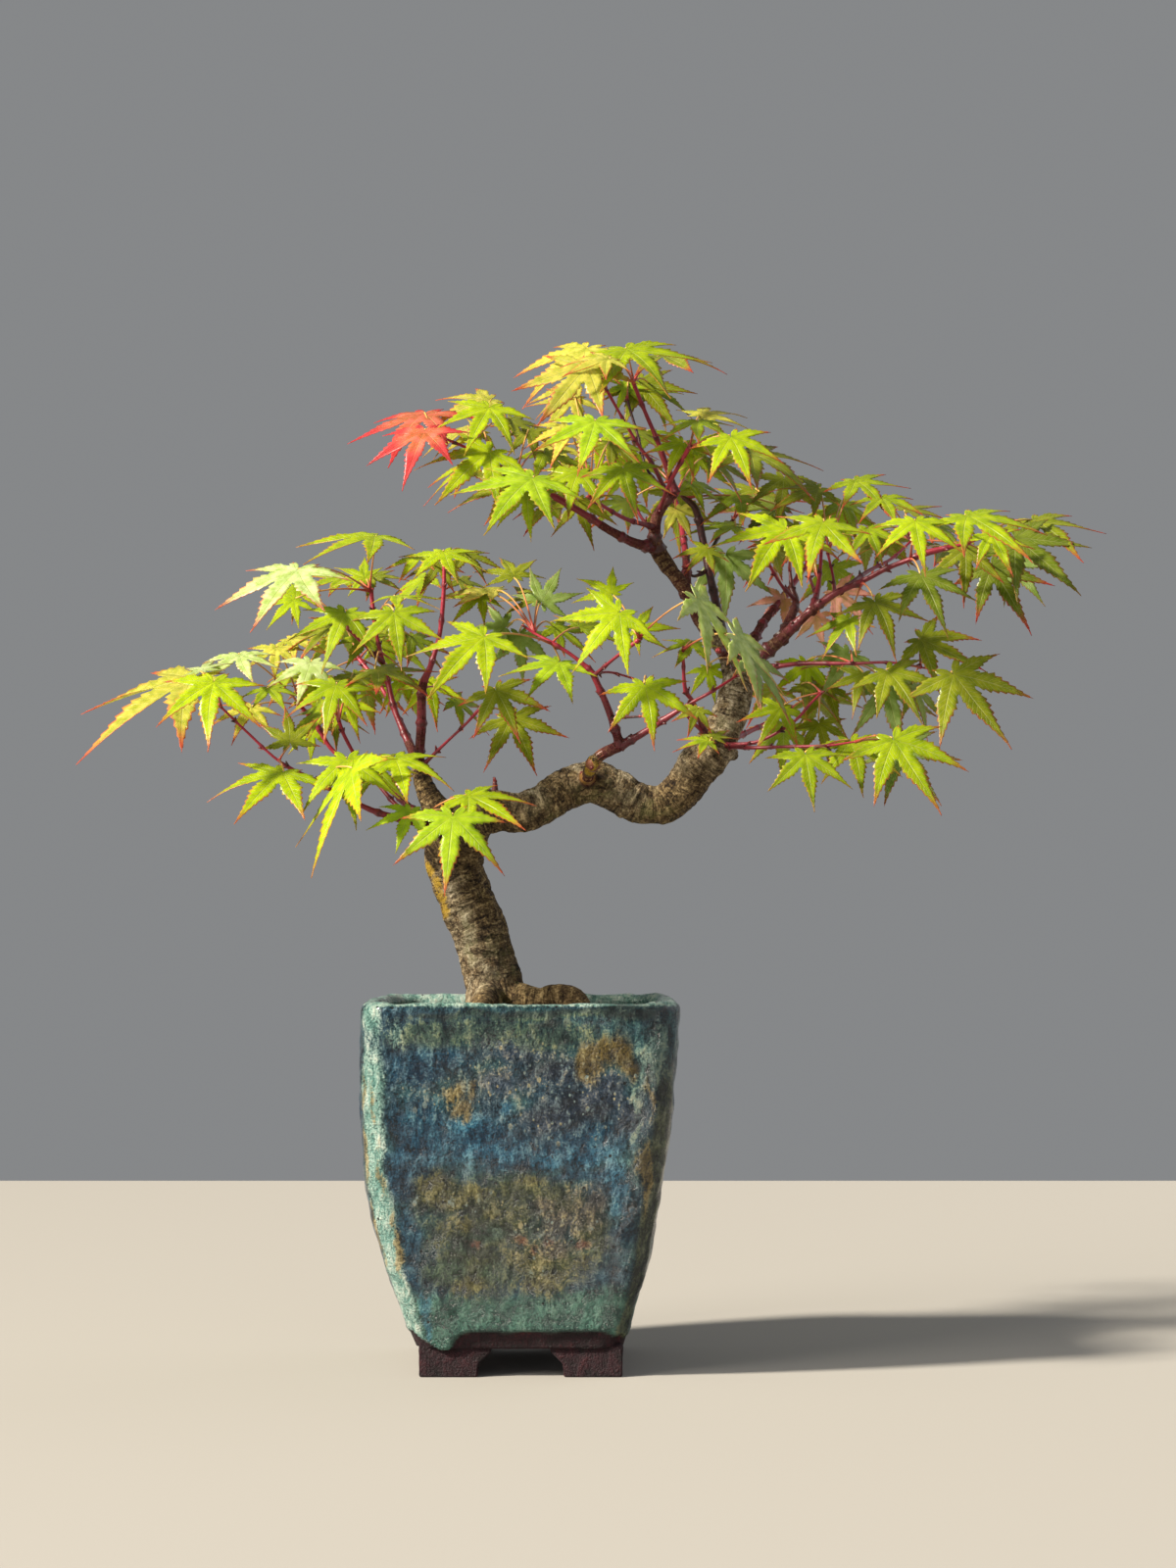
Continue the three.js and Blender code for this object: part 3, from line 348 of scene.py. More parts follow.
# %% The stretches of wood
WOOD = {
    "trunk": [(508, 1040, 0, 34), (505, 1012, 0, 31), (500, 990, 0, 28.5), (493, 962, 0, 28),
        (485, 938, 0, 28.5), (475, 915, 0, 28.5), (466, 893, -1, 27.5), (464, 872, -2, 31),
        (470, 850, -3, 30), (486, 833, -4, 26), (508, 828, -5, 21), (530, 829, -5, 20),
        (553, 820, -4, 20.5), (577, 805, -2, 20.5), (602, 798, 0, 21.5), (628, 807, 2, 22),
        (652, 820, 3, 21), (676, 821, 3, 20), (698, 803, 2, 21), (713, 781, 1, 22),
        (729, 763, 0, 21), (738, 742, 0, 19.5), (748, 719, 1, 18), (753, 697, 2, 16.5),
        (749, 678, 3, 14.5), (740, 662, 4, 10.5), (728, 650, 5, 8), (714, 634, 5, 6.6),
        (704, 612, 4, 6.6), (692, 592, 3, 7.5), (679, 575, 2, 8.5), (670, 560, 0, 8)],
    "root_right": [(520, 1018, -4, 21), (536, 1021, -7, 16), (552, 1022, -9, 14),
        (568, 1017, -11, 13), (582, 1020, -13, 14), (595, 1032, -15, 11)],
    "root_left": [(500, 1024, 6, 20), (486, 1034, 14, 14), (470, 1044, 20, 9)],
    "root_back": [(512, 1012, 10, 20), (524, 1024, 24, 13), (534, 1036, 34, 8)],
    "root_front": [(500, 1014, -8, 20), (490, 1028, -22, 11), (484, 1040, -30, 7)],
    "leader": [(670, 560, 0, 8), (668, 545, -3, 6.5), (670, 528, -4, 6), (680, 512, -6, 5),
        (690, 503, -7, 4.5)],
    "top_red": [(688, 500, -7, 4), (673, 455, -9, 3.4), (659, 422, -10, 3), (646, 390, -12, 3)],
    "top_dark": [(684, 505, -3, 3), (661, 480, 3, 2.4), (651, 445, 6, 2.2), (640, 408, 9, 2.6)],
    "top_left_red": [(682, 508, -9, 3.4), (666, 474, -17, 3), (652, 455, -20, 2.6),
        (636, 428, -23, 2.4), (619, 398, -26, 2.6)],
    "top_right_red": [(672, 524, -4, 3.6), (684, 492, -20, 3), (703, 457, -29, 3.2)],
    "crown_left": [(664, 562, -3, 6.5), (645, 553, -9, 5.2), (622, 541, -14, 4.6),
        (600, 527, -17, 4.2), (575, 512, -20, 4.2), (552, 500, -23, 3.8), (526, 485, -26, 3.4),
        (500, 471, -28, 3.4), (478, 458, -26, 2.6), (455, 448, -26, 2.2), (440, 442, -26, 2)],
    "crown_left_upper": [(662, 538, -6, 3.6), (640, 530, -17, 3.2), (618, 518, -26, 3),
        (602, 508, -32, 3)],
    "crown_back_red": [(660, 548, 3, 3), (652, 524, 14, 2.6), (640, 495, 23, 2.4),
        (622, 462, 32, 2.2)],
    "dark_riser": [(741, 664, 12, 6.5), (732, 622, 20, 5), (724, 585, 23, 4.6),
        (717, 550, 25, 4.4), (710, 520, 25, 4.2), (698, 508, 25, 3.4)],
    "dark_riser_back": [(721, 572, 25, 3.6), (735, 545, 38, 2.6), (748, 530, 46, 2.4)],
    "dark_riser_spur": [(724, 580, 23, 3), (708, 588, 20, 2.6), (699, 580, 17, 2.2)],
    "right_main": [(752, 684, 3, 11), (772, 672, 0, 8.5), (797, 652, -4, 6.6), (822, 628, -9, 4.8),
        (852, 606, -12, 4), (880, 593, -14, 3.6), (905, 580, -17, 3.4), (928, 571, -20, 3.4),
        (946, 564, -22, 4), (985, 555, -25, 2.4)],
    "right_riser": [(797, 652, -4, 6), (806, 632, 6, 5), (812, 615, 13, 4.5), (808, 600, 17, 3.6),
        (806, 582, 20, 2.6)],
    "right_riser_left": [(811, 612, 13, 3), (798, 598, 9, 2.8), (785, 577, 3, 2.2)],
    "right_riser_mid": [(828, 624, -9, 4.4), (834, 604, 0, 3.6), (837, 580, 6, 3),
        (838, 562, 9, 2.8)],
    "right_riser_back": [(833, 608, 0, 3), (826, 588, 14, 2.4), (822, 570, 26, 2.2)],
    "right_riser_far": [(853, 606, -12, 3), (850, 588, -3, 2.4), (845, 566, 3, 2.2)],
    "right_upper": [(858, 604, -12, 3.6), (884, 584, 6, 3), (910, 570, 20, 2.6),
        (930, 552, 32, 2)],
    "right_level": [(762, 682, 6, 5), (790, 680, -3, 3.6), (820, 677, -12, 3.2),
        (870, 677, -20, 2.6), (908, 676, -26, 2), (940, 681, -29, 1.5), (970, 687, -32, 1.3)],
    "right_low": [(744, 768, -9, 4), (772, 757, -14, 2.6), (808, 738, -20, 2.6),
        (827, 718, -20, 2.2), (838, 707, -19, 1.8)],
    "right_lowest": [(738, 764, -14, 4), (765, 763, -23, 3), (800, 762, -30, 2.6),
        (842, 761, -38, 2.4), (872, 757, -41, 1.6)],
    "right_knob": [(738, 765, 2, 14), (750, 773, 3, 6.5)],
    "elbow_left": [(462, 858, -3, 22), (446, 826, 0, 15), (433, 800, 1, 10), (427, 780, 3, 8)],
    "left_inner": [(426, 782, 3, 5.5), (414, 752, 12, 4.2), (402, 722, 17, 3.8),
        (395, 692, 20, 3.6), (388, 665, 20, 3.2), (382, 635, 20, 2.8), (379, 604, 20, 3.2)],
    "left_inner_red": [(391, 676, 20, 3), (374, 660, 12, 2.6), (356, 643, 4, 2.4)],
    "left_upright": [(430, 780, 0, 5.5), (430, 740, -6, 5.2), (431, 702, -9, 4.8),
        (440, 678, -12, 3.6), (449, 645, -13, 3.2), (453, 600, -14, 3), (453, 572, -14, 2.6)],
    "left_outer": [(438, 782, -6, 3.4), (456, 757, -12, 2.4), (474, 740, -14, 2.2),
        (490, 723, -16, 3)],
    "left_low": [(446, 842, -12, 6.5), (420, 838, -22, 4.6), (380, 827, -29, 3.8),
        (345, 809, -33, 3.2), (320, 797, -36, 4), (284, 776, -38, 2.4), (252, 747, -39, 2.2),
        (226, 722, -41, 2)],
    "left_mid": [(440, 832, 0, 5), (410, 826, 4, 3.6), (388, 803, 12, 3), (368, 780, 14, 2.8),
        (352, 752, 14, 3), (346, 736, 14, 3)],
    "left_back": [(428, 820, 9, 5), (398, 806, 20, 3.6), (362, 784, 29, 3.4), (338, 764, 32, 3.2),
        (322, 738, 32, 3.4), (308, 722, 32, 3)],
    "left_front": [(448, 848, -20, 5), (436, 848, -32, 3), (424, 838, -41, 2.4)],
    "middle": [(596, 795, -14, 7.5), (604, 782, -20, 6.5), (614, 770, -23, 6.2),
        (635, 760, -26, 5.6)],
    "middle_left": [(634, 762, -26, 5), (627, 742, -29, 4.4), (620, 722, -32, 4),
        (608, 694, -35, 3.8), (602, 684, -35, 3.6), (584, 669, -35, 2.8), (565, 657, -35, 3),
        (545, 646, -33, 2.2), (536, 640, -33, 2)],
    "middle_fork": [(605, 690, -35, 3), (628, 671, -44, 2.6), (652, 653, -49, 3.2)],
    "middle_thin": [(604, 688, -32, 2.6), (622, 686, -26, 2), (645, 692, -20, 1.8),
        (660, 698, -17, 1.6)],
    "middle_short": [(622, 732, -32, 3), (640, 732, -44, 2), (653, 731, -49, 2)],
    "middle_right": [(634, 762, -26, 4.6), (658, 747, -30, 4), (683, 731, -35, 3.6),
        (704, 718, -38, 2.8), (724, 707, -41, 2.6), (745, 694, -39, 2), (764, 681, -35, 1.6)],
    "trunk_twig": [(722, 754, -14, 3.6), (706, 736, -23, 2.6), (692, 717, -29, 2.4)],
    "trunk_twig_up": [(724, 742, -17, 4), (708, 718, -29, 3.2), (699, 702, -35, 3),
        (697, 663, -41, 2.2)],
    "trunk_stub": [(737, 668, -8, 5), (733, 664, -13, 4)],
    "limb_stub": [(502, 812, -5, 6), (505, 797, -6, 3)],
    "back_left": [(434, 806, 4, 6), (424, 772, 24, 4.4), (408, 735, 40, 3.6), (388, 700, 54, 3.2),
        (366, 672, 64, 3)],
    "back_right": [(757, 676, 6, 7), (776, 640, 28, 5), (802, 606, 46, 4), (826, 572, 60, 3.4),
        (842, 545, 68, 3)],
    "back_top": [(700, 606, 4, 6), (700, 570, 26, 4.4), (694, 530, 46, 3.6), (684, 492, 60, 3)],
    "back_low": [(728, 760, 8, 6), (752, 752, 30, 4), (782, 738, 50, 3.2), (806, 724, 64, 3)],
}
DEAD = ("top_dark", "dark_riser", "dark_riser_back", "dark_riser_spur", "middle_short")
BROWN = ("leader", "right_riser", "trunk_stub", "limb_stub")
print("stretches:", len(WOOD), "with", sum(map(len, WOOD.values())), "noted points")

# %% [markdown]
# A side shoot starts on the middle line of the wood it springs from, so that its foot is always
# buried in it. We look for the nearest spot of the earlier stretches, as seen in the view.

# %% Join each stretch to its parent
STEP = 0.8 * MM
TRIES = 11  # spots looked at between two noted points


def smooth_line(knots, step):
    """Rows of x, y, z and radius every step along a smooth curve through the knots."""
    ends = [2 * knots[0] - knots[1], *knots, 2 * knots[-1] - knots[-2]]
    rows = []
    for a, b, c, d in zip(ends, ends[1:], ends[2:], ends[3:]):
        count = max(1, round(float(np.linalg.norm((c - b)[:3])) / step))
        for t in np.arange(count) / count:
            bend = (2 * a - 5 * b + 4 * c - d) * t * t + (3 * b - 3 * c + d - a) * t ** 3
            rows.append(b + 0.5 * ((c - a) * t + bend))
    return np.array([*rows, knots[-1]])


def nearest_on(rows, column, row):
    """The nearest spot of a noted line in the view, with its distance first."""
    found = []
    for start, end in zip(rows, rows[1:]):
        for share in np.linspace(0, 1, TRIES):
            spot = start + share * (end - start)
            found.append((math.hypot(spot[0] - column, spot[1] - row), *spot))
    return min(found)


grown = {}
for name, rows in WOOD.items():
    rows = np.array(rows, float)
    if grown:
        column, row = rows[0][:2]
        spot = min(nearest_on(parent, column, row) for parent in grown.values())
        rows[0][:3] = spot[1:4]
    grown[name] = rows

lines = {}
for name, rows in grown.items():
    knots = [np.array([*place(*row[:3]), row[3] * COLUMN_MM * MM]) for row in rows]
    lines[name] = smooth_line(knots, STEP)
print("length of the trunk:", round(len(lines["trunk"]) * STEP, 3), "m; of all wood:",
      round(sum(map(len, lines.values())) * STEP, 2), "m")

# %% [markdown]
# ### Old wood
#
# Everything thicker than 3 mm flows together at its forks. We set tubes of the right thickness
# into each other, let the Remesh modifier cast one skin round them all, and smooth away its
# steps. The skin then gets its character: slow swellings, wrinkled rings across the grain and
# fine roughness, each a noise of its own size that moves the skin in and out.

# %% Cast one skin round the thick stretches
THICK = 1.5 * MM  # radius from which wood counts as old
SKIN_STEP = 0.62 * MM
LIMB_SIDES = 14
LEAST_POINTS = 4


def pour(bm, mesh):
    """Adds a mesh to a bmesh and uses it up."""
    bm.from_mesh(mesh)
    bpy.data.meshes.remove(mesh)


def merge(bm, part):
    """Moves a small bmesh into a larger one, which is quicker than growing the large one."""
    pour(bm, mesh_of("part", part))


bm = bmesh.new()
axis_points = []
for name, line in lines.items():
    if name in DEAD:
        continue
    thick = next((i for i, row in enumerate(line) if row[3] <= THICK), len(line))
    if thick < LEAST_POINTS and line[0][3] < THICK:
        continue
    part = line[:max(thick, LEAST_POINTS)]
    limb = bmesh.new()
    tube(limb, [Vector(row[:3]) for row in part], [row[3] for row in part], LIMB_SIDES)
    merge(bm, limb)
    offset = 10 * len(axis_points)  # far from the other limbs' patterns
    axis_points += [(Vector(row[:3]), row[3], offset + i) for i, row in enumerate(part)]
bmesh.ops.recalc_face_normals(bm, faces=bm.faces)
draft = shown("draft", mesh_of("draft", bm))
cast = draft.modifiers.new("cast", "REMESH")
cast.mode = "VOXEL"
cast.voxel_size = SKIN_STEP
even = draft.modifiers.new("even", "SMOOTH")
even.factor = 0.5
even.iterations = 4
depsgraph = bpy.context.evaluated_depsgraph_get()
skin_mesh = bpy.data.meshes.new_from_object(draft.evaluated_get(depsgraph))
bpy.data.objects.remove(draft)
print("skin of the old wood:", len(skin_mesh.polygons), "faces")

# %% [markdown]
# For every point of the skin we look up the nearest spot of the middle line. That tells how far
# along the wood it lies and which way is outward. Spots that lie buried inside a thicker limb
# are left out. The bark's rings are noise that changes fast along the wood and slowly round it.

# %% Find the middle line
BURIED_REACH = 13 * MM


def finder_of(spots):
    """A search tree over numbered spots."""
    tree = kdtree.KDTree(len(spots))
    for i, co in spots:
        tree.insert(co, i)
    tree.balance()
    return tree


every = finder_of([(i, point[0]) for i, point in enumerate(axis_points)])
free = [(i, spot) for i, (spot, radius, along) in enumerate(axis_points)
        if not any(axis_points[j][1] > max(1.3 * radius, away)
                   for co, j, away in every.find_range(spot, BURIED_REACH))]
nearest_spot = finder_of(free)
print("middle line points:", len(axis_points), "of which outside thicker wood:", len(free))

# %% Wrinkles, rings and swellings
FULL_BARK = 7  # mm of radius from which the relief has its full height
SWELL, FOLD, CREASE, FIBRE, PLATE = 0.85, 0.2, -0.4, 0.16, 0.26  # how high each stands, mm


def lumps(co, size):
    """Smooth noise from -1 to 1 in space, with lumps of this many mm."""
    return noise.noise(co * per_mm(size))


def grain(first, second, layer):
    """The same noise over two numbers. Each layer has a pattern of its own."""
    return noise.noise(Vector((first, second, layer)))


def wood_coordinates(co):
    """How far along the wood and round it a point lies, and how thick it is there, in mm."""
    spot, index, away = nearest_spot.find(co)
    index = min(max(index, 1), len(axis_points) - 2)
    way = (axis_points[index + 1][0] - axis_points[index - 1][0]).normalized()
    front = (Vector((0, -1, 0)) + way * way.y).normalized()
    outward = co - spot
    radius = axis_points[index][1] / MM
    around = math.atan2(outward.dot(way.cross(front)), outward.dot(front)) * radius
    thickness = max(radius, 0.85 * outward.length / MM)
    return axis_points[index][2] * STEP / MM + outward.dot(way) / MM, around, thickness


bm = bmesh.new()
bm.from_mesh(skin_mesh)
bm.normal_update()
layers = [bm.verts.layers.float.new(name) for name in ("along", "around", "thickness")]
moves = []
for vert in bm.verts:
    along, around, radius = wood_coordinates(vert.co)
    drift = along + 1.6 * lumps(vert.co, 5)
    fold = grain(drift / 2.1, around / 7, 0) + 0.6 * grain(drift / 0.9, around / 4, 4)
    crease = (1 - abs(grain(drift / 7, around / 30, 9))) ** 18
    fibre = grain(along / 5, around / 1.1, 2)
    swell = lumps(vert.co, 11) + 0.6 * lumps(vert.co, 5)
    height = SWELL * swell + FOLD * fold + CREASE * crease + FIBRE * fibre
    height += PLATE * lumps(vert.co, 2.6)
    moves.append(height * min(1.0, radius / FULL_BARK) * MM)
    for layer, value in zip(layers, (along, around, radius)):
        vert[layer] = value
for vert, move in zip(bm.verts, moves):
    vert.co += vert.normal * move
print("skin moved by", round(min(moves) / MM, 2), "to", round(max(moves) / MM, 2), "mm")

# %% [markdown]
# Where a branch was cut off, the tree has closed the wound with a raised ring round a sunken eye.
# Each wound is noted as a spot of the view with its size in mm.

# %% Healed wounds
WOUNDS = [(743, 668, -3, 2.6), (596, 779, -4, 2.2), (500, 800, -6, 2.0), (466, 870, -12, 3.0),
          (690, 800, -3, 2.4), (748, 776, 0, 2.4)]
WOUND_RIM = 0.75  # mm
WOUND_EYE = 1.1


def hill(value, middle, width):
    """1 at the middle, falling off softly on both sides."""
    return np.exp(-((value - middle) / width) ** 2)


bm.verts.ensure_lookup_table()
skin_points = finder_of([(i, vert.co) for i, vert in enumerate(bm.verts)])
bm.normal_update()
for column, row, depth, width in WOUNDS:
    wound = skin_points.find(place(column, row, depth - 20))[0]
    for co, index, away in skin_points.find_range(wound, 2 * width * MM):
        share = away / (width * MM)
        height = WOUND_RIM * hill(share, 1, 0.35) - WOUND_EYE * hill(share, 0, 0.6)
        bm.verts[index].co += bm.verts[index].normal * height * MM
print("healed wounds:", len(WOUNDS))

# %% [markdown]
# ### The bark's colours
#
# The bark is grey brown at the foot, dark in its folds and pale grey on the crests. The upper
# trunk is paler, a band of yellow lichen runs down its left edge and thin green algae live on its
# shaded side. The same pale zone is also painted light on the sunlit left side of the lower trunk
# and on the top of the level limb. These zones belong to places on this tree, so they are painted
# on the mesh as attributes by their distance from spots of the view, each with its size in mm. The
# material adds the small scale: flecks, fine folds and a matt, slightly fibrous surface.

# %% Paint the zones of the bark
BARK_ZONES = {
    "lichen": [(441, 903, -8, 5), (446, 918, -7, 5), (451, 931, -6, 4), (437, 888, -6, 4),
               (600, 790, -20, 4), (605, 780, -22, 4), (640, 822, -8, 3), (664, 830, -6, 2.5)],
    "algae": [(480, 968, -9, 7), (520, 985, -7, 8), (470, 945, -9, 5), (505, 1018, -10, 6),
              (610, 812, -8, 8), (665, 832, -4, 8), (560, 832, -6, 6), (735, 745, -8, 6)],
    # The pale zone: the real pale grey bark of the upper trunk, plus painted light on the lower
    # trunk's sunlit left side and the level limb's top
    "pale_and_sunlit_wood": [(748, 715, 0, 16), (742, 690, 0, 14), (735, 750, 0, 12), (470, 965, -9, 9),
                  (468, 938, -9, 6), (492, 990, -9, 8), (640, 802, 0, 8), (585, 785, -3, 6),
                  (540, 812, -6, 7), (705, 770, 0, 8), (455, 905, -9, 6), (478, 1010, -9, 7)],
}
for name, spots in BARK_ZONES.items():
    layer = bm.verts.layers.float.new(name)
    middles = [(place(*spot[:3]), spot[3] * MM) for spot in spots]
    for vert in bm.verts:
        nearest = min((vert.co - middle).length / width for middle, width in middles)
        vert[layer] = math.exp(-nearest * nearest)
print("zones on the bark:", ", ".join(BARK_ZONES))

# %% Bark material
bark = Finish("maple_bark", "#5d4c3c", 0.85, 0.25)
here = bark.here()
along = bark.times(bark.painted("along"), MM)
around = bark.times(bark.painted("around"), MM)
lichen = bark.painted("lichen")
blotch = bark.clouds(here, 5, 5, 0.65)
fleck = bark.clouds(here, 0.9, 4, 0.7)
swung = bark.total((blotch, 1.8 * MM), (along, 1.0))
rings = bark.node("CombineXYZ", {}, {0: swung, 1: bark.times(around, 0.25)}).outputs[0]
fibres = bark.node("CombineXYZ", {}, {0: bark.times(along, 0.3), 1: around}).outputs[0]
ring = bark.clouds(rings, 1.5, 5, 0.7)
fibre = bark.clouds(fibres, 0.9, 4, 0.6)
line = bark.zigzag(bark.times(bark.clouds(rings, 6, 2, 0.5), 5.0))
crack = bark.between(line, 0.07, 0.01)
crest = bark.between(line, 0.42, 0.49)
relief = bark.total((ring, 0.35), (fibre, 0.15), (fleck, 0.3), (blotch, 0.2), (crack, -0.06),
                    (crest, 0.04))
RELIEF_STEPS = (0.4, 0.46, 0.52, 0.59)
tone = bark.ramp(relief, RELIEF_STEPS, "#1a110a #3f301f #705b3c #b59c6f")
grey = bark.ramp(relief, RELIEF_STEPS, "#3a3024 #7d7059 #aea289 #ded5c2")
# Pale grey bark where the pale zone lies: real on the upper trunk, painted light on the lower
# trunk's left side and the limb's top
pale_and_sunlit_share = bark.times(bark.painted("pale_and_sunlit_wood"), bark.between(blotch, 0.3, 0.6))
tone = bark.mix(bark.times(pale_and_sunlit_share, 0.75), tone, grey)
green = bark.times(bark.painted("algae"), bark.between(blotch, 0.45, 0.6))
tone = bark.mix(bark.times(green, 0.4), tone, "#5f6630")
yellow = bark.between(bark.times(lichen, fleck), 0.24, 0.4)
tone = bark.mix(bark.times(yellow, 0.8), tone, "#c09a2c")
young = bark.times(bark.between(bark.painted("thickness"), 3.4, 1.8),
                   bark.between(lichen, 0.5, 0.2))
tone = bark.mix(bark.times(young, 0.85), tone, bark.mix(fleck, "#3a171b", "#742f32"))
bark.fill(bark.surface, {"Base Color": tone})
bark.bump(relief, 3 * MM)
skin = piece("old_wood", bm, [bark.material], ["trunk"])
print("old wood:", len(skin.data.polygons), "faces, up to", round(skin.dimensions.z, 3), "m high")

# %% [markdown]
# ### Twigs
#
# Twigs are slender tubes. They swell at every node, where a pair of buds sits, and flare where
# they spring from older wood. Old nodes keep the short dark ends of shed shoots. The colour runs
# from red brown at the foot of a twig to coral at its tip.

# %% Twigs and their nodes
NODE_SPACING = 11 * MM
NODE_LENGTH = 0.9 * MM
FOOT_LENGTH = 1.6 * MM
TWIG_BODY, NODE_SWELL, FOOT_SWELL = 0.92, 0.34, 0.5  # shares of the noted radius
TWIG_SLENDER = 0.68  # what young wood has of it
TWIG_SIDES = 8
AGES = {"red": ("#4c1219", "#a01c34"), "brown": ("#3d2620", "#5e2825"),
        "dead": ("#2a1816", "#351b1a"), "middle": ("#9a7a3a", "#7a2a2c"),
        "right_main": ("#3f1a1c", "#8a1a2c")}


def blend(first, second, share):
    """Two hex colours mixed, in linear light."""
    return tuple(a + (b - a) * share for a, b in zip(colour(first), colour(second)))


def ages_of(name):
    """The colours at the foot and the tip of a twig."""
    kind = name if name in AGES else "brown" if name in BROWN else "red"
    return AGES["dead" if name in DEAD else kind]


def twig(bm, line, ages, tint_layer):
    """A twig with swollen nodes. Returns the numbers of the points that are nodes."""
    nodes = []
    travelled = random.uniform(0.3, 0.9) * NODE_SPACING
    for i in range(len(line)):
        travelled += STEP
        if travelled > NODE_SPACING and 3 < i < len(line) - 4:
            nodes.append(i)
            travelled = random.uniform(-0.25, 0.25) * NODE_SPACING
    radii = []
    for i, row in enumerate(line):
        stout = min(1.0, max(0.0, row[3] / THICK - 0.6) / 0.4)
        slender = TWIG_SLENDER + (1 - TWIG_SLENDER) * stout
        swell = NODE_SWELL * sum(hill(i * STEP, n * STEP, NODE_LENGTH) for n in nodes)
        swell += FOOT_SWELL * math.exp(-i * STEP / FOOT_LENGTH)
        rough = 1 + 0.08 * lumps(Vector(row[:3]), 3)
        radii.append(row[3] * slender * (TWIG_BODY + swell) * rough)
    rings = tube(bm, [Vector(row[:3]) for row in line], radii, TWIG_SIDES)
    for i, ring in enumerate(rings):
        shade = 0.45 + 0.55 * min([1.0] + [abs(i - n) / 2 for n in nodes])
        for vert in ring:
            vert[tint_layer] = [c * shade for c in blend(*ages, i / (len(rings) - 1))]
    return nodes


print("kinds of twigs:", ", ".join(AGES))

# %% Grow the twigs and their buds
BUD_SIDES = 7
BUD_MISSING = 0.35  # chance that a bud was shed
TIP_BUDS = 3
TIP_BUD = 1.8 * MM
random.seed(7)


def bud(bm, spot, direction, length, width, tint, tint_layer):
    """A pointed bud or the stub of a shed shoot."""
    made = bmesh.ops.create_cone(bm, cap_ends=True, segments=BUD_SIDES, radius1=width,
                                 radius2=width * 0.35, depth=length)
    turn = direction.to_track_quat("Z", "Y")
    for vert in made["verts"]:
        vert.co = spot + turn @ (vert.co + Vector((0, 0, length * 0.35)))
        vert[tint_layer] = tint


bm = bmesh.new()
bm.verts.layers.float_color.new("tint")
for name, line in lines.items():
    if name in ("trunk", "elbow_left", "right_knob") or name.startswith("root"):
        continue
    shoot = bmesh.new()
    tint_layer = shoot.verts.layers.float_color.new("tint")
    for n in twig(shoot, line, ages_of(name), tint_layer):
        spot = Vector(line[n][:3])
        along = (Vector(line[n + 1][:3]) - spot).normalized()
        first, second = random.uniform(-1, 1), random.uniform(-1, 1)
        sideways = along.cross(Vector((first, 0.6, second))).normalized()
        for side in (-1, 1):
            if random.random() < BUD_MISSING:
                continue
            lean = (along * 0.9 + sideways * side).normalized()
            foot = spot + sideways * side * line[n][3] * 0.7
            length = random.uniform(0.9, 2.0) * MM
            dark = blend("#2c1512", "#6e2326", random.random())
            bud(shoot, foot, lean, length, line[n][3] * 0.42 + 0.2 * MM, dark, tint_layer)
    tip = Vector(line[-1][:3])
    ahead = (tip - Vector(line[-3][:3])).normalized()
    for number in range(TIP_BUDS):
        lean = ahead + Vector((random.uniform(-1, 1), random.uniform(-1, 1), 0)) * 0.8
        red = blend("#4c1a18", "#a33a3a", random.random())
        bud(shoot, tip, lean.normalized(), TIP_BUD, line[-1][3] * 0.8, red, tint_layer)
    merge(bm, shoot)
print("twigs with their buds:", len(bm.verts), "points")

# %% Shoot bark material
shoot_bark = Finish("coral_shoot_bark", "#8d2a33", 0.42, 0.5)
streak = shoot_bark.clouds(shoot_bark.here(), 1.1, 3)
base = shoot_bark.painted("tint", "Color")
# Lighter coral streaks placed by noise: partly the bark's own tone, partly a painted highlight
coral = shoot_bark.mix(shoot_bark.between(streak, 0.35, 0.75), base, "#b04450")
shoot_bark.fill(shoot_bark.surface, {"Base Color": shoot_bark.mix(0.15, base, coral)})
shoot_bark.bump(streak, 0.12 * MM)
twigs = piece("twigs", bm, [shoot_bark.material], ["trunk"])
print("twigs:", len(twigs.data.polygons), "faces")

# %% [markdown]
# ## The leaves
#
# A maple leaf is a hand of pointed lobes, each with toothed edges and a vein down its middle. We
# model one flat blade first. Every lobe is a grid of faces, with one row for every 4 % of the
# blade's length. Near the leaf's heel the outer columns lie on the lines half way between two
# lobes, so the points of neighbouring grids fall together and merging them makes one sheet.
# Further out the lobes part. There the edge follows a lance shape, and every second row is
# pushed out and forward, which makes the teeth.

# %% The outline of a lobe
ROW = 0.04
LOBES = [(-138, 0.24), (-94, 0.64), (-47, 0.88), (0, 1.0), (47, 0.88), (94, 0.64), (138, 0.24)]
NOTCHES = [0.08, 0.12, 0.20, 0.24, 0.24, 0.20, 0.12, 0.08]
HALVES = [22, 22, 23.5, 23.5, 23.5, 23.5, 22, 22]
WIDEST = 0.12
BELLY = 0.46


def edge(distance, reach, notch, half):
    """Half the width of a lobe at a distance from the heel, all as shares of the blade."""
    slope = math.tan(math.radians(half))
    if distance <= notch + 0.001:
        return distance * slope
    widest = WIDEST * reach ** 0.8
    belly = max(notch + ROW, BELLY * reach)
    if distance < belly:
        share = (distance - notch) / (belly - notch)
        return notch * slope + (widest - notch * slope) * share * share * (3 - 2 * share)
    share = (distance - belly) / (reach - belly)
    return widest * max(0.0, 1 - share) ** 1.3 * (1 - 0.2 * share)


print("half width of the middle lobe:",
      [round(edge(along, 1.0, NOTCHES[3], HALVES[3]), 3) for along in (0.2, 0.4, 0.6, 0.8)])

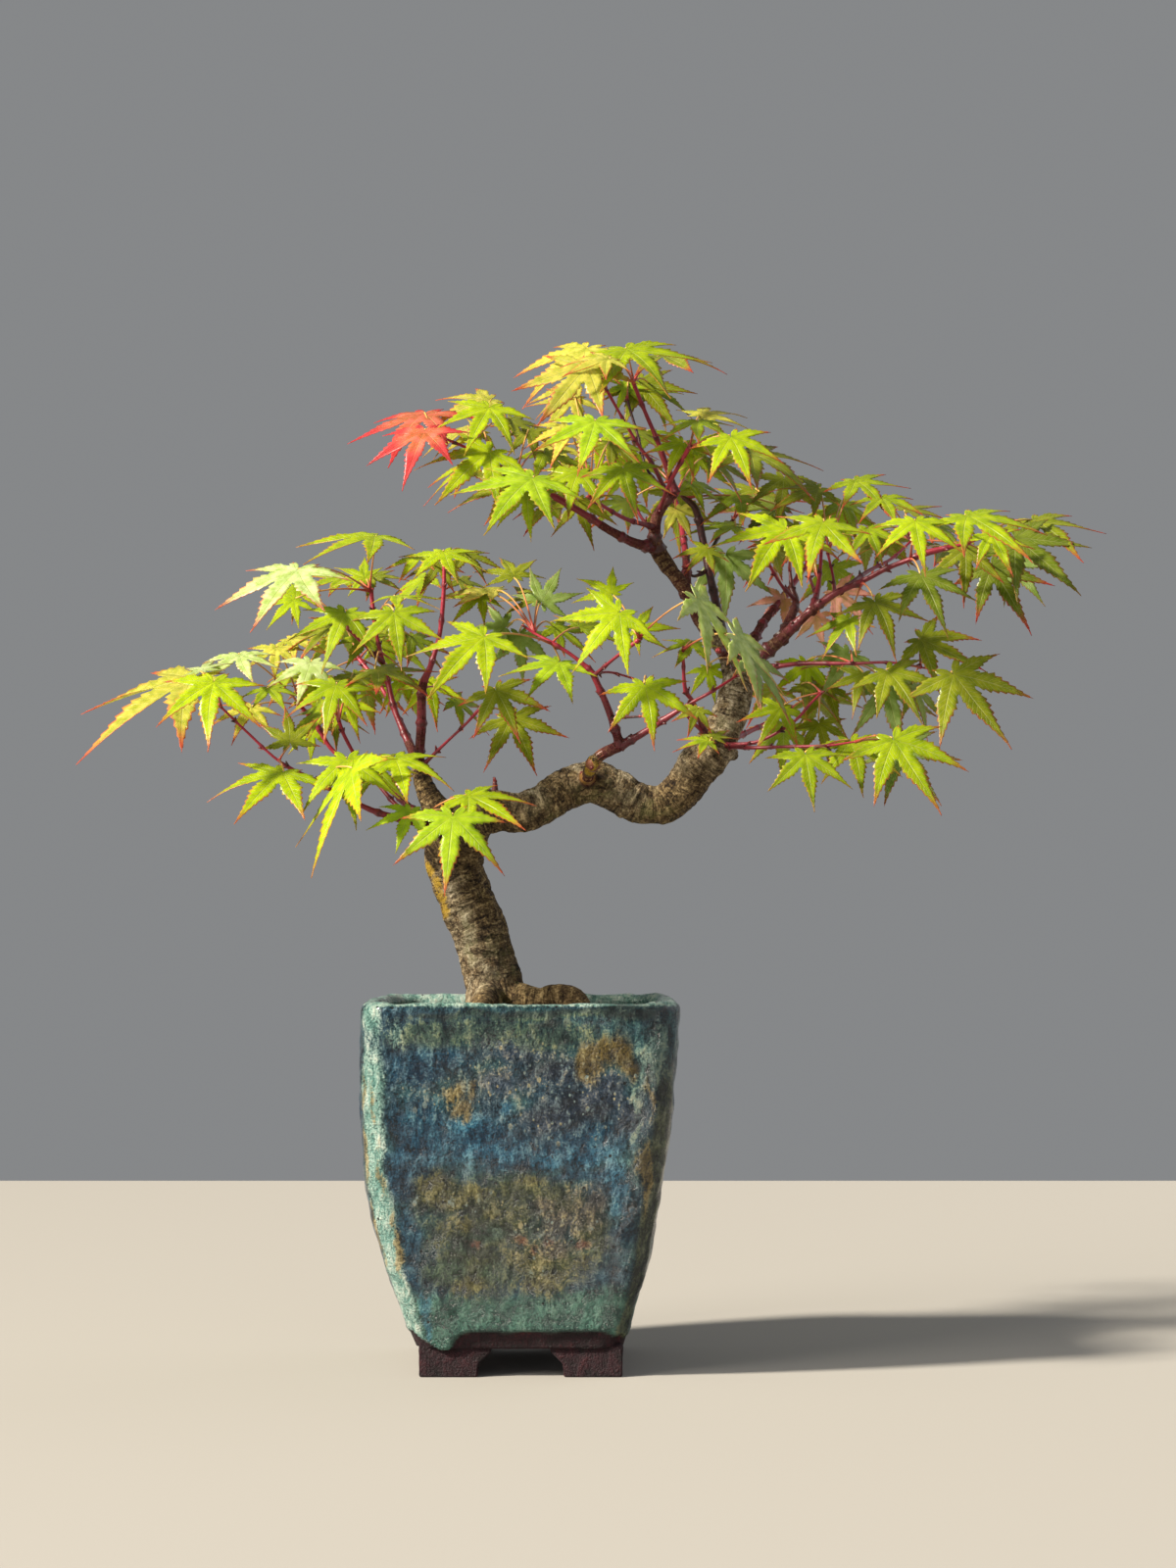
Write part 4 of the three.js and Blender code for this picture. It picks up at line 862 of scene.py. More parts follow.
# %% One flat blade
COLUMNS = (-1, -0.5, 0, 0.5, 1)
TOOTH_OUT, TOOTH_IN, TOOTH_FORWARD = 1.14, 0.9, 0.7
bm = bmesh.new()
lobe_uv = bm.loops.layers.uv.new("lobe")
reach_layer = bm.verts.layers.float.new("reach")
lobe_layer = bm.verts.layers.int.new("lobe_number")
bands = len(COLUMNS) - 1
for k, (angle, reach) in enumerate(LOBES):
    rows = round(reach / ROW)
    made = bmesh.ops.create_grid(bm, x_segments=rows, y_segments=bands, size=1)
    turn = math.radians(angle)
    for vert in made["verts"]:
        row = round((vert.co.x + 1) / 2 * rows)
        across = COLUMNS[round((vert.co.y + 1) / 2 * bands)]
        side = k + (across > 0)
        along = row * ROW
        width = edge(along, reach, NOTCHES[side], HALVES[side])
        if NOTCHES[side] + 0.01 < along < reach - 0.01 and abs(across) == 1:
            width *= TOOTH_IN if row % 2 else TOOTH_OUT
            along += 0.0 if row % 2 else ROW * TOOTH_FORWARD
        lateral = width * across
        vert[reach_layer] = along / reach
        vert[lobe_layer] = k
        vert.co = (along * math.cos(turn) - lateral * math.sin(turn),
                   along * math.sin(turn) + lateral * math.cos(turn), 0)
        for loop in vert.link_loops:
            loop[lobe_uv].uv = (0.5 + 0.5 * across, along)
bmesh.ops.remove_doubles(bm, verts=bm.verts, dist=0.002)
bmesh.ops.recalc_face_normals(bm, faces=bm.faces)
print("blade:", len(bm.verts), "points,", len(bm.faces), "faces, open edges:",
      sum(e.is_boundary for e in bm.edges))
blade_mesh = mesh_of("blade", bm)
flat_x, flat_y = np.array([v.co[:2] for v in blade_mesh.vertices]).T
lobes = np.array([d.value for d in blade_mesh.attributes["lobe_number"].data])

# %% [markdown]
# ### Where the leaves are
#
# Leaves grow in sprays from the buds at the twigs' ends and nodes. A spray is noted with its
# stretch of wood and its place there. Every leaf has the column, row and depth of its heel, the
# heading of its middle lobe in the view, how far its face is lifted from the viewer towards the
# sky, how far it is swung to the right, its length in mm and its tint. Leaves in the sun are lime
# and gold, with lime partly painted light, and the near white sun tint is a painted highlight for
# the glare on their gloss. The olive and dark tints are painted shade for leaves in the shade of
# the crown, and a few young ones at the outside are still coral.

# %% The sprays
SPRAYS = [
    ("left_low", 7, [
        (218, 696, -49, 264, 40, 0, 30, "lime"), (196, 692, -16, 210, 62, -30, 54, "gold"),
        (206, 684, -17, 70, 60, -30, 15, "sun")]),
    ("left_back", 5, [
        (244, 668, 0, 300, 62, 0, 22, "sun"), (282, 661, 17, 268, 47, 0, 18, "gold"),
        (274, 702, -9, 320, 62, 0, 17, "green"), (256, 722, 12, 243, 52, 0, 20, "gold"),
        (325, 700, 29, 268, 32, 0, 17, "lime"), (318, 745, 41, 272, 32, 0, 15, "lime"),
        (300, 684, 30, 235, 55, -45, 23, "green"), (338, 724, 46, 290, 45, 20, 20, "olive"),
        (296, 652, 24, 345, 62, 0, 20, "gold")]),
    ("left_mid", 5, [
        (317, 676, -17, 255, 42, 0, 22, "sun"), (343, 699, -32, 256, 40, 0, 25, "green"),
        (352, 716, 23, 300, 32, 0, 17, "lime"), (362, 688, 34, 322, 55, 30, 22, "olive"),
        (330, 722, -4, 215, 45, -40, 20, "green")]),
    ("left_low", 5, [
        (296, 758, -35, 95, 20, 0, 18, "olive"), (288, 788, -49, 225, 60, 0, 32, "lime")]),
    ("left_inner", 6, [
        (303, 582, -32, 232, 54, -18, 37, "sun"), (300, 612, 0, 225, 42, 0, 16, "lime"),
        (382, 547, 3, 198, 72, 0, 34, "lime"), (372, 590, 32, 150, 42, 0, 17, "lime"),
        (380, 588, 44, 335, 62, 0, 20, "olive"), (350, 590, 49, 190, 62, 0, 18, "green")]),
    ("left_inner_red", 2, [
        (352, 625, -41, 252, 44, 0, 26, "green"), (303, 600, 9, 268, 42, 0, 16, "lime"),
        (338, 640, 14, 200, 55, -40, 22, "olive"), (372, 650, 26, 305, 45, 20, 22, "green")]),
    ("left_inner", 5, [
        (402, 625, -44, 280, 36, 0, 25, "green"), (405, 608, -9, 350, 78, 0, 22, "lime"),
        (420, 650, 34, 318, 50, 40, 21, "green"), (396, 636, 40, 245, 50, -30, 20, "olive")]),
    ("left_upright", 6, [
        (453, 563, -32, 290, 57, 0, 22, "lime"), (430, 567, 0, 225, 62, -20, 17, "lime"),
        (448, 575, 17, 240, 37, 0, 17, "olive"), (475, 565, 29, 310, 52, 20, 19, "olive"),
        (436, 590, 30, 215, 50, -40, 21, "green"), (470, 592, 40, 330, 55, 40, 20, "olive")]),
    ("left_inner", 4, [
        (385, 683, -23, 345, 68, 0, 27, "olive"), (412, 690, 29, 232, 27, 0, 17, "lime")]),
    ("left_upright", 2, [
        (437, 697, 20, 290, 37, 0, 20, "lime"), (464, 714, 26, 325, 45, 45, 18, "green")]),
    ("left_outer", 3, [
        (506, 704, -29, 300, 34, 0, 24, "olive"), (521, 733, 6, 300, 34, 0, 27, "olive")]),
    ("left_low", 4, [
        (354, 775, -52, 276, 40, 0, 29, "lime"), (358, 786, -67, 246, 32, -66, 40, "lime"),
        (403, 773, -36, 298, 60, 0, 30, "lime"), (380, 780, -17, 315, 42, 0, 20, "green")]),
    ("left_front", 2, [
        (419, 827, -67, 247, 42, 0, 19, "light"), (462, 833, -81, 266, 30, 0, 30, "light"),
        (478, 812, -58, 338, 62, 0, 28, "lime")]),
    ("crown_left", 10, [
        (433, 440, -38, 250, 46, -15, 27, "coral"), (432, 422, -14, 230, 62, -20, 35, "coral")]),
    ("crown_left", 8, [
        (499, 408, -9, 195, 55, 0, 26, "gold"), (499, 416, -29, 244, 46, 0, 27, "lime"),
        (522, 428, 16, 330, 55, 30, 21, "olive"), (476, 436, 10, 220, 60, -45, 22, "gold")]),
    ("crown_left", 7, [
        (500, 461, -36, 220, 42, 0, 32, "lime"), (490, 440, 12, 205, 42, 0, 17, "gold"),
        (478, 474, 12, 215, 50, -45, 23, "green")]),
    ("crown_left", 6, [
        (543, 488, -60, 223, 52, 0, 34, "light"), (524, 493, -20, 195, 42, 0, 26, "olive"),
        (538, 502, -29, 272, 30, 0, 20, "lime"), (540, 440, -12, 290, 47, 0, 17, "olive"),
        (556, 462, 18, 312, 50, 20, 22, "green")]),
    ("crown_left", 5, [
        (590, 482, -44, 250, 42, 0, 23, "green"), (590, 512, 12, 288, 32, 0, 20, "olive"),
        (566, 506, 22, 230, 45, -30, 21, "olive")]),
    ("crown_left_upper", 3, [
        (607, 430, -62, 256, 46, 0, 29, "light"), (585, 406, 6, 225, 47, 0, 22, "gold"),
        (636, 478, -58, 282, 42, 0, 25, "green"), (624, 452, 6, 322, 50, 20, 22, "olive"),
        (580, 436, -30, 250, 50, 0, 22, "gold")]),
    ("crown_back_red", 3, [
        (612, 450, 35, 270, 32, 0, 18, "lime"), (570, 455, 38, 230, 42, 0, 20, "gold"),
        (590, 474, 52, 205, 60, -40, 24, "green"), (644, 438, 46, 330, 60, 35, 24, "olive")]),
    ("top_left_red", 4, [
        (597, 356, -23, 216, 54, -25, 33, "gold"), (599, 374, -38, 232, 42, -10, 33, "gold"),
        (612, 376, 9, 205, 52, 0, 20, "gold"), (586, 390, 18, 222, 55, -40, 23, "gold")]),
    ("top_red", 3, [
        (640, 356, -29, 318, 58, 0, 36, "lime"), (620, 366, -44, 200, 60, 0, 20, "gold"),
        (676, 363, 9, 325, 74, 0, 30, "olive"), (652, 390, 17, 308, 37, 0, 26, "olive"),
        (666, 398, 24, 292, 50, 20, 22, "green")]),
    ("top_dark", 3, [
        (640, 392, 14, 250, 32, 0, 14, "light")]),
    ("top_right_red", 2, [
        (712, 430, -26, 262, 64, 0, 21, "green"), (746, 446, -41, 295, 40, 0, 25, "lime"),
        (697, 452, -23, 238, 32, 0, 18, "green"), (766, 462, 6, 335, 62, 10, 33, "olive"),
        (716, 424, 6, 20, 60, 0, 23, "gold"), (728, 470, 26, 312, 50, 40, 22, "olive")]),
    ("leader", 4, [
        (714, 468, 20, 200, 32, 0, 14, "lime"), (690, 520, 29, 300, 42, 0, 18, "gold"),
        (704, 492, 26, 330, 50, 40, 20, "green")]),
    ("dark_riser", 5, [
        (796, 517, 46, 178, 52, 0, 29, "dark")]),
    ("dark_riser_back", 2, [
        (748, 537, 32, 184, 68, 0, 25, "green"), (800, 488, 35, 262, 32, 0, 22, "olive"),
        (772, 512, 52, 15, 60, 0, 23, "olive"), (754, 506, 34, 212, 55, 0, 23, "green")]),
    ("dark_riser_spur", 2, [
        (722, 560, 14, 222, 42, 0, 16, "olive"), (740, 567, 46, 272, 20, 0, 28, "pale")]),
    ("right_riser", 4, [
        (802, 540, -44, 228, 42, 0, 33, "lime")]),
    ("right_riser_left", 2, [
        (800, 612, 41, 222, 30, 0, 17, "blush")]),
    ("right_riser_mid", 3, [
        (840, 533, -58, 243, 46, 0, 28, "lime"), (822, 548, -17, 282, 37, 0, 18, "olive")]),
    ("right_riser_far", 2, [
        (873, 490, 6, 320, 58, 0, 24, "green"), (835, 498, 20, 200, 55, 0, 22, "olive"),
        (860, 512, 26, 292, 50, 30, 22, "green")]),
    ("right_riser_back", 2, [
        (770, 500, 62, 240, 42, 0, 22, "olive")]),
    ("right_upper", 3, [
        (900, 508, -3, 295, 57, 0, 20, "green"), (886, 540, -12, 290, 40, 0, 19, "green"),
        (1030, 572, 20, 310, 22, 0, 22, "pale"), (925, 520, 38, 20, 62, 0, 18, "olive"),
        (948, 530, 42, 322, 55, 40, 23, "green"), (908, 548, 40, 240, 45, -20, 20, "olive")]),
    ("right_main", 4, [
        (852, 604, 38, 322, 27, 0, 21, "blush"), (832, 628, 35, 280, 27, 0, 15, "blush")]),
    ("right_main", 5, [
        (893, 614, -35, 296, 36, 0, 24, "olive"), (866, 632, -6, 228, 40, -30, 20, "green")]),
    ("right_main", 7, [
        (934, 532, -55, 272, 46, 0, 24, "lime"), (940, 587, -44, 292, 40, 0, 26, "dark"),
        (964, 560, 8, 302, 50, 45, 23, "olive")]),
    ("right_main", 9, [
        (987, 526, -49, 325, 62, 0, 33, "lime"), (1012, 545, -32, 292, 37, 0, 19, "lime"),
        (1055, 531, -6, 322, 60, 0, 31, "olive"), (1036, 549, -20, 318, 40, 0, 33, "dark"),
        (1012, 578, 0, 298, 26, 0, 28, "dark"), (985, 560, -12, 268, 30, 0, 23, "olive")]),
    ("right_level", 5, [
        (940, 652, -26, 335, 40, 0, 27, "olive"), (906, 685, -38, 308, 40, 0, 26, "olive"),
        (932, 700, -2, 292, 30, 45, 21, "green")]),
    ("right_level", 6, [
        (973, 688, -41, 305, 30, 0, 34, "olive")]),
    ("right_level", 3, [
        (866, 667, 12, 236, 30, 0, 23, "pale"), (904, 700, 9, 284, 12, 0, 26, "pale"),
        (823, 677, 17, 266, 12, 0, 20, "lime"), (880, 688, -23, 248, 32, 0, 17, "olive"),
        (845, 700, 22, 228, 35, 0, 20, "olive")]),
    ("right_low", 4, [
        (797, 722, -17, 236, 36, 0, 20, "lime"), (836, 738, 17, 286, 32, 0, 18, "olive"),
        (820, 700, 12, 322, 50, 30, 18, "olive")]),
    ("right_lowest", 3, [
        (822, 770, -52, 276, 34, 0, 23, "green"), (868, 757, -35, 286, 40, 0, 25, "green")]),
    ("right_lowest", 4, [
        (912, 755, -61, 300, 34, 0, 32, "green"), (918, 762, -26, 302, 27, 0, 27, "pale")]),
    ("middle_fork", 2, [
        (632, 625, -67, 226, 26, 0, 28, "lime"), (648, 642, -46, 10, 32, 0, 17, "lime"),
        (624, 606, -29, 140, 30, 0, 17, "lime"), (712, 612, -72, 309, 32, 58, 34, "sun")]),
    ("middle_left", 6, [
        (494, 650, -55, 222, 46, -10, 33, "lime"), (570, 676, -32, 222, 56, 0, 26, "light"),
        (592, 640, -14, 20, 55, 30, 20, "green")]),
    ("middle_left", 7, [
        (553, 614, 9, 62, 20, 0, 20, "pale"), (548, 612, 23, 138, 60, 0, 23, "olive"),
        (505, 602, 12, 178, 72, 0, 24, "gold"), (492, 607, 23, 215, 47, 0, 18, "green"),
        (515, 640, 29, 172, 22, 0, 17, "pale"), (530, 648, 32, 275, 22, 0, 21, "pale"),
        (524, 588, 22, 110, 45, 0, 20, "olive"), (566, 640, 10, 330, 50, 30, 20, "green")]),
    ("middle_thin", 3, [
        (658, 699, -61, 282, 34, 0, 26, "lime")]),
    ("trunk_twig_up", 3, [
        (705, 655, -35, 240, 60, 0, 18, "green"), (752, 650, -76, 318, 32, 56, 30, "sun")]),
    ("middle_right", 6, [
        (766, 672, -46, 313, 32, 50, 26, "pale"), (722, 682, 20, 285, 27, 0, 15, "lime")]),
    ("trunk", 20, [
        (712, 724, -44, 246, 32, 0, 12, "olive"), (722, 756, -38, 190, 62, 0, 14, "green"),
        (728, 752, -35, 35, 57, 0, 11, "olive")]),
    ("back_left", 4, [
        (350, 640, 70, 215, 120, 0, 26, "green"), (395, 652, 78, 330, 130, 0, 25, "lime"),
        (328, 690, 62, 200, 105, 0, 24, "lime"), (372, 692, 84, 275, 140, 0, 26, "olive"),
        (410, 700, 72, 310, 120, 0, 22, "green")]),
    ("back_right", 4, [
        (852, 520, 76, 300, 130, 0, 26, "green"), (884, 550, 66, 345, 110, 0, 26, "olive"),
        (815, 540, 80, 240, 140, 0, 26, "olive"), (848, 578, 88, 280, 150, 0, 24, "green"),
        (790, 560, 62, 215, 120, 0, 22, "olive")]),
    ("back_top", 3, [
        (655, 470, 70, 215, 130, 0, 26, "lime"), (706, 458, 76, 320, 130, 0, 26, "green"),
        (690, 502, 88, 270, 150, 0, 25, "olive"), (640, 512, 64, 200, 110, 0, 24, "green"),
        (660, 440, 52, 240, 100, 0, 22, "lime")]),
    ("back_low", 3, [
        (832, 712, 72, 320, 130, 0, 24, "olive"), (800, 742, 80, 270, 145, 0, 24, "green"),
        (790, 704, 66, 220, 120, 0, 22, "olive")]),
]
# Painted light in the tints: sun is a near white painted highlight, lime is partly painted light,
# and olive and dark are painted shade
TINTS = {  # colour and strength of the red flush
    "lime": ("#cfe214", 0.7), "gold": ("#ece66a", 0.8), "sun": ("#e8f6c0", 0.6),
    "green": ("#bccf18", 0.7), "olive": ("#aeb628", 0.8), "light": ("#c8e22a", 0.6),
    "coral": ("#ff8c78", 2.0), "blush": ("#ffc6cc", 0.5), "pale": ("#b4cc7c", 0.5),
    "dark": ("#8f9e32", 0.7)}
print("sprays:", len(SPRAYS), "with", sum(len(leaves) for on, at, leaves in SPRAYS), "leaves")

# %% [markdown]
# ### Bend each blade its own way
#
# No two leaves hang alike. From its heel a blade sags more and more towards the tips, and each
# lobe droops, twists and curves sideways by its own chance amount. The halves of a lobe fold up
# a little along the vein. The blade is given a real thickness of 0.2 mm, so it has two sides and
# an edge. A stalk arches from the bud over to the heel.

# %% Bend a blade
LEAF_DROOP = 0.16
LOBE_START = 0.22  # share of the length from which a lobe moves by itself
DROOPS, TWISTS, CURVES, FOLDS = (0.5, 1.6), (-0.7, 0.7), (-0.09, 0.09), (0.05, 0.38)


def blade_frame(heading, lift, swing):
    """The blade's face, its middle lobe and its side as directions in space."""
    rise = math.radians(lift)
    face = Vector((0, -math.cos(rise), math.sin(rise)))
    face.rotate(Euler((0, 0, math.radians(swing))))
    turn = math.radians(heading)
    middle = Vector((math.cos(turn), 0, math.sin(turn)))
    middle.y -= middle.dot(face) / face.y
    middle.normalize()
    return face, middle, face.cross(middle)


def bent_blade(heel, frame, length, chance):
    """The blade's points in space, each lobe with its own droop, twist and curve."""
    turns = np.radians([angle for angle, reach in LOBES])[lobes]
    along = flat_x * np.cos(turns) + flat_y * np.sin(turns)
    across = flat_y * np.cos(turns) - flat_x * np.sin(turns)
    free = np.clip((along - LOBE_START) / 0.7, 0, 1)
    droop, twist, curve = [np.array([chance.uniform(*limits) for lobe in LOBES])[lobes]
                           for limits in (DROOPS, TWISTS, CURVES)]
    fold = chance.uniform(*FOLDS)
    sag = LEAF_DROOP * np.hypot(flat_x, flat_y) ** 1.8 * (1 + (droop - 1) * free ** 0.7)
    shift = curve * free ** 1.6
    x = flat_x - shift * np.sin(turns)
    y = flat_y + shift * np.cos(turns)
    lift = fold * np.abs(across) + twist * across * free - 0.6 * sag
    face, middle, side = frame
    points = (np.outer(x, middle) + np.outer(y, side) + np.outer(lift, face)) * length
    points[:, 2] -= 0.5 * sag * length
    return points + np.array(heel)


print("a blade with no lift and no swing faces", [round(v, 2) for v in blade_frame(0, 0, 0)[0]])

# %% Blades and stalks
LEAF_SCALE = 0.93
LEAF_THICK = 0.2 * MM
LEAF_SHADES, FLUSH_SHADES = (0.88, 1.1), (0.5, 1.4)
STALK_RADIUS = 0.32 * MM
STALK_POINTS = 8
STALK_SIDES = 6


def paint(mesh, name, kind, field, values):
    """Gives every point of a mesh its value of a new attribute."""
    mesh.attributes.new(name, kind, "POINT").data.foreach_set(field, values)


def add_blade(bm, noted, chance):
    """One blade with its tint, thickened to a closed body. Returns where its stalk ends."""
    column, row, depth, heading, lift, swing, length, tint = noted
    heel = place(column, row, depth)
    frame = blade_frame(heading, lift, swing)
    mesh = blade_mesh.copy()
    points = bent_blade(heel, frame, length * LEAF_SCALE * MM, chance)
    mesh.vertices.foreach_set("co", points.ravel())
    base, red = TINTS[tint]
    base = colour(base, chance.uniform(*LEAF_SHADES))
    paint(mesh, "tint", "FLOAT_COLOR", "color", np.tile(base, len(lobes)))
    red *= chance.uniform(*FLUSH_SHADES)
    paint(mesh, "flush", "FLOAT", "value", np.full(len(lobes), red))
    faces_before = len(bm.faces)
    pour(bm, mesh)
    bm.faces.ensure_lookup_table()
    bmesh.ops.solidify(bm, geom=bm.faces[faces_before:], thickness=LEAF_THICK)
    return heel - frame[1] * MM


def add_stalk(bm, bud_spot, heel):
    """A stalk that rises from the bud and bends over to the heel."""
    bend = bud_spot.lerp(heel, 0.55) + Vector((0, 0, 0.12 * (heel - bud_spot).length))
    points = [bud_spot * (1 - t) ** 2 + bend * 2 * t * (1 - t) + heel * t ** 2
              for t in np.linspace(0, 1, STALK_POINTS)]
    radii = [STALK_RADIUS * (1 + 1.1 * math.exp(-i / 0.7)) for i in range(STALK_POINTS)]
    part = bmesh.new()
    tint_layer = part.verts.layers.float_color.new("tint")
    for i, ring in enumerate(tube(part, points, radii, STALK_SIDES)):
        for vert in ring:
            vert[tint_layer] = blend("#a8323a", "#d8b45c", i / (STALK_POINTS - 1))
    for face in part.faces:
        face.material_index = 1
    merge(bm, part)


print("a blade has", len(lobes), "points; a stalk", STALK_POINTS * STALK_SIDES)

# %% [markdown]
# ### Leaf tissue
#
# A young maple leaf is thin enough to glow when the sun is behind it, so half of its light comes
# from a Translucent shader. The veins are drawn from the blade's own UV map, in which one axis
# runs across the lobe and the other from the heel to the tip: a pale midrib, finer side veins
# that slant forward, and a red flush on the teeth and tips.

# %% Leaf and stalk materials
leaf = Finish("maple_leaf_tissue", "#9dbb33", 0.3, 0.45)
uv = leaf.node("UVMap", {"uv_map": "lobe"}, {}).outputs[0]
across, along = leaf.node("SeparateXYZ", {}, {0: uv}).outputs[:2]
aside = leaf.math("ABSOLUTE", leaf.math("SUBTRACT", across, 0.5))
midrib = leaf.between(aside, 0.05, 0.015)
slant = leaf.zigzag(leaf.total((along, 15.0), (aside, -3.4)))
side_vein = leaf.times(leaf.between(slant, 0.1, 0.03), 0.45)
mottle = leaf.between(leaf.clouds(leaf.here(), 3.5, 3), 0.3, 0.7)
base = leaf.painted("tint", "Color")
tone = leaf.mix(mottle, base, leaf.mix(1.0, base, "#d3dfa0", "MULTIPLY"))
veins = leaf.math("MAXIMUM", leaf.times(midrib, 0.6), side_vein)
veined = leaf.mix(veins, tone, leaf.mix(0.55, tone, "#e6e79a"))
flush = leaf.painted("flush")
outer = leaf.between(leaf.total((flush, 0.25), (leaf.painted("reach"), 1.0)), 0.88, 1.15)
rim = leaf.times(leaf.between(aside, 0.36, 0.5), leaf.between(along, 0.25, 0.6))
flushed = leaf.times(leaf.math("MAXIMUM", outer, rim), leaf.math("MINIMUM", flush, 0.8))
tone = leaf.mix(flushed, veined, "#e03e50")
leaf.fill(leaf.surface, {"Base Color": tone})
leaf.bump(leaf.math("MAXIMUM", midrib, side_vein), -0.15 * MM)
glow = leaf.node("BsdfTranslucent", {}, {"Color": leaf.mix(1.0, tone, "#fffaa8", "MULTIPLY")})
half = leaf.node("MixShader", {}, {0: 0.5, 1: leaf.surface.outputs[0], 2: glow.outputs[0]})
leaf.fill(leaf.tree.nodes["Material Output"], {"Surface": half.outputs[0]})

stalk = Finish("leaf_stalk_skin", "#c05a48", 0.4, 0.5)
stalk.fill(stalk.surface, {"Base Color": stalk.painted("tint", "Color")})
print("nodes in the leaf's material:", len(leaf.tree.nodes))

# %% Grow every spray
leaf_faces = 0
for number, (on, at, leaves) in enumerate(SPRAYS):
    chance = random.Random(number)
    bm = bmesh.new()
    column, row, depth, wood_half = WOOD[on][at]
    seat = place(column, row, depth)
    middle = sum((place(*noted[:3]) for noted in leaves), Vector()) / len(leaves)
    bud_spot = seat + (middle - seat).normalized() * wood_half * COLUMN_MM * MM * 0.7
    heels = [add_blade(bm, noted, chance) for noted in leaves]
    for heel in heels:
        add_stalk(bm, bud_spot, heel)
    name = f"leaves_{on}_{at}"
    made = piece("foliage_" + name, bm, [leaf.material, stalk.material], [name])
    leaf_faces += len(made.data.polygons)
print("leaf faces:", leaf_faces)

# %% [markdown]
# ## The pot
#
# The pot was pressed from stoneware clay, glazed and fired: a square that narrows towards its
# foot, with round corners and an uneven, hand-finished lip. Its section is one closed line, from
# the drain hole under the floor, up the outside, over the lip, down the inside and back through
# the hole. We draw that line ring by ring. A circle is extruded from ring to ring and every ring
# is shaped to the rounded square that the section has there.

# %% Taper and rounded square
POT_HEIGHT = 127
RIM_HALF = 54
TAPER = 22
TAPER_POWER = 2.4
AROUND = 240
CORNER_CROWD = 0.14  # how much the points crowd at the corners


def half_at(z):
    """Half the pot's width at a height in mm."""
    return RIM_HALF - TAPER * (1 - z / POT_HEIGHT) ** TAPER_POWER


def square_point(step, half, corner):
    """A point of a rounded square, in mm from its middle."""
    turn = 2 * math.pi * (step + 0.5) / AROUND
    turn += CORNER_CROWD * math.sin(4 * turn)
    c, s = math.cos(turn), math.sin(turn)
    near, far = max(abs(c), abs(s)), min(abs(c), abs(s))
    flat_half = half * (1 - corner)
    reach = half / near
    if far * reach > flat_half:
        total = flat_half * (near + far)
        reach = total + math.sqrt(total ** 2 - 2 * flat_half ** 2 + (half * corner) ** 2)
    return c * reach, s * reach


print("half width at the table and at the rim:", half_at(0), half_at(POT_HEIGHT), "mm")

# %% The pot's section
POT_X = -22.8
WALL = 6
CORNER = 0.25
CORNER_INSIDE = 0.17
FOOT_HEIGHT = 9
FLOOR_TOP = 17
DRAIN_RADIUS = 7
LIP = 3
RING_STEP = 0.95


def ringed(bm, rings, closed):
    """Extrudes a circle through rings of (half width, height, corner) in mm."""
    ring = bmesh.ops.create_circle(bm, cap_ends=False, radius=1, segments=AROUND)["verts"]
    first = ring
    for i, (half, z, corner) in enumerate(rings):
        ring = next_ring(bm, ring) if i else ring
        for step, vert in enumerate(ring):
            x, y = square_point(step, half, corner)
            vert.co = Vector((POT_X + x, y, z)) * MM
    if closed:
        pair = dict.fromkeys(e for v in (*first, *ring) for e in v.link_edges if e.is_boundary)
        bmesh.ops.bridge_loops(bm, edges=list(pair))


section = [(DRAIN_RADIUS, FOOT_HEIGHT, 1.0), (12, FOOT_HEIGHT, 0.8), (20, FOOT_HEIGHT, 0.5),
           (28, FOOT_HEIGHT, 0.3), (half_at(FOOT_HEIGHT) - 1.2, FOOT_HEIGHT, CORNER)]
section += [(half_at(z), z, CORNER) for z in np.arange(9.6, POT_HEIGHT - LIP, RING_STEP)]
section += [(RIM_HALF + LIP * (math.cos(t) - 1), POT_HEIGHT + LIP * (math.sin(t) - 1), CORNER)
            for t in np.linspace(0, math.pi, 11)]
section += [(half_at(z) - WALL, z, CORNER_INSIDE)
            for z in (122, 120, 118, 115, 110, 100, 80, 60, 40, 26)]
section += [(half_at(FLOOR_TOP) - WALL - 1.5, FLOOR_TOP, CORNER_INSIDE), (20, FLOOR_TOP, 0.4),
            (DRAIN_RADIUS, FLOOR_TOP, 1.0)]
bm = bmesh.new()
ringed(bm, section, closed=True)
bmesh.ops.recalc_face_normals(bm, faces=bm.faces)
print("pot shell:", len(bm.faces), "faces, open edges:", sum(e.is_boundary for e in bm.edges))

# %% [markdown]
# ### Uneven walls and a coat of glaze
#
# The walls bulge and dip a little, as pressed clay does. The glaze lies on them like a coat
# about half a millimetre thick. It stops short of the foot in a wavy line with a small bead, and
# at the front left corner a run of it hangs down. Where the glaze is counts for shape and colour,
# so it is kept as an attribute.

# %% Where the glaze stops
GLAZE_EDGE = 15.4
RUNS = [  # side of the pot, place across it, width, length in mm
    (0, -0.7, 0.12, 7.5), (0, -0.88, 0.12, 2.5), (0, 0.92, 0.1, 1.6), (1, -0.9, 0.12, 2.5),
    (2, 0.8, 0.1, 3.2), (2, -0.3, 0.16, 1.2), (3, 0.6, 0.14, 2.6), (3, -0.85, 0.1, 1.8)]


def wall_spot(co):
    """Side of the pot (0 is the front, then round to the right), place across it, height in mm."""
    x, y, z = co.x / MM - POT_X, co.y / MM, co.z / MM
    half = max(abs(x), abs(y), 1)
    if abs(y) >= abs(x):
        return (0, x / half, z) if y < 0 else (2, -x / half, z)
    return (1, y / half, z) if x > 0 else (3, -y / half, z)


def glaze_edge(side, across):
    """Height in mm at which the glaze stops."""
    drop = sum(length * hill(across, middle, width)
               for number, middle, width, length in RUNS if number == side)
    return GLAZE_EDGE - drop + 0.5 * grain(across * 5, side * 3.7, 0)


print("glaze stops in the front's middle at", round(float(glaze_edge(0, 0)), 2), "mm")

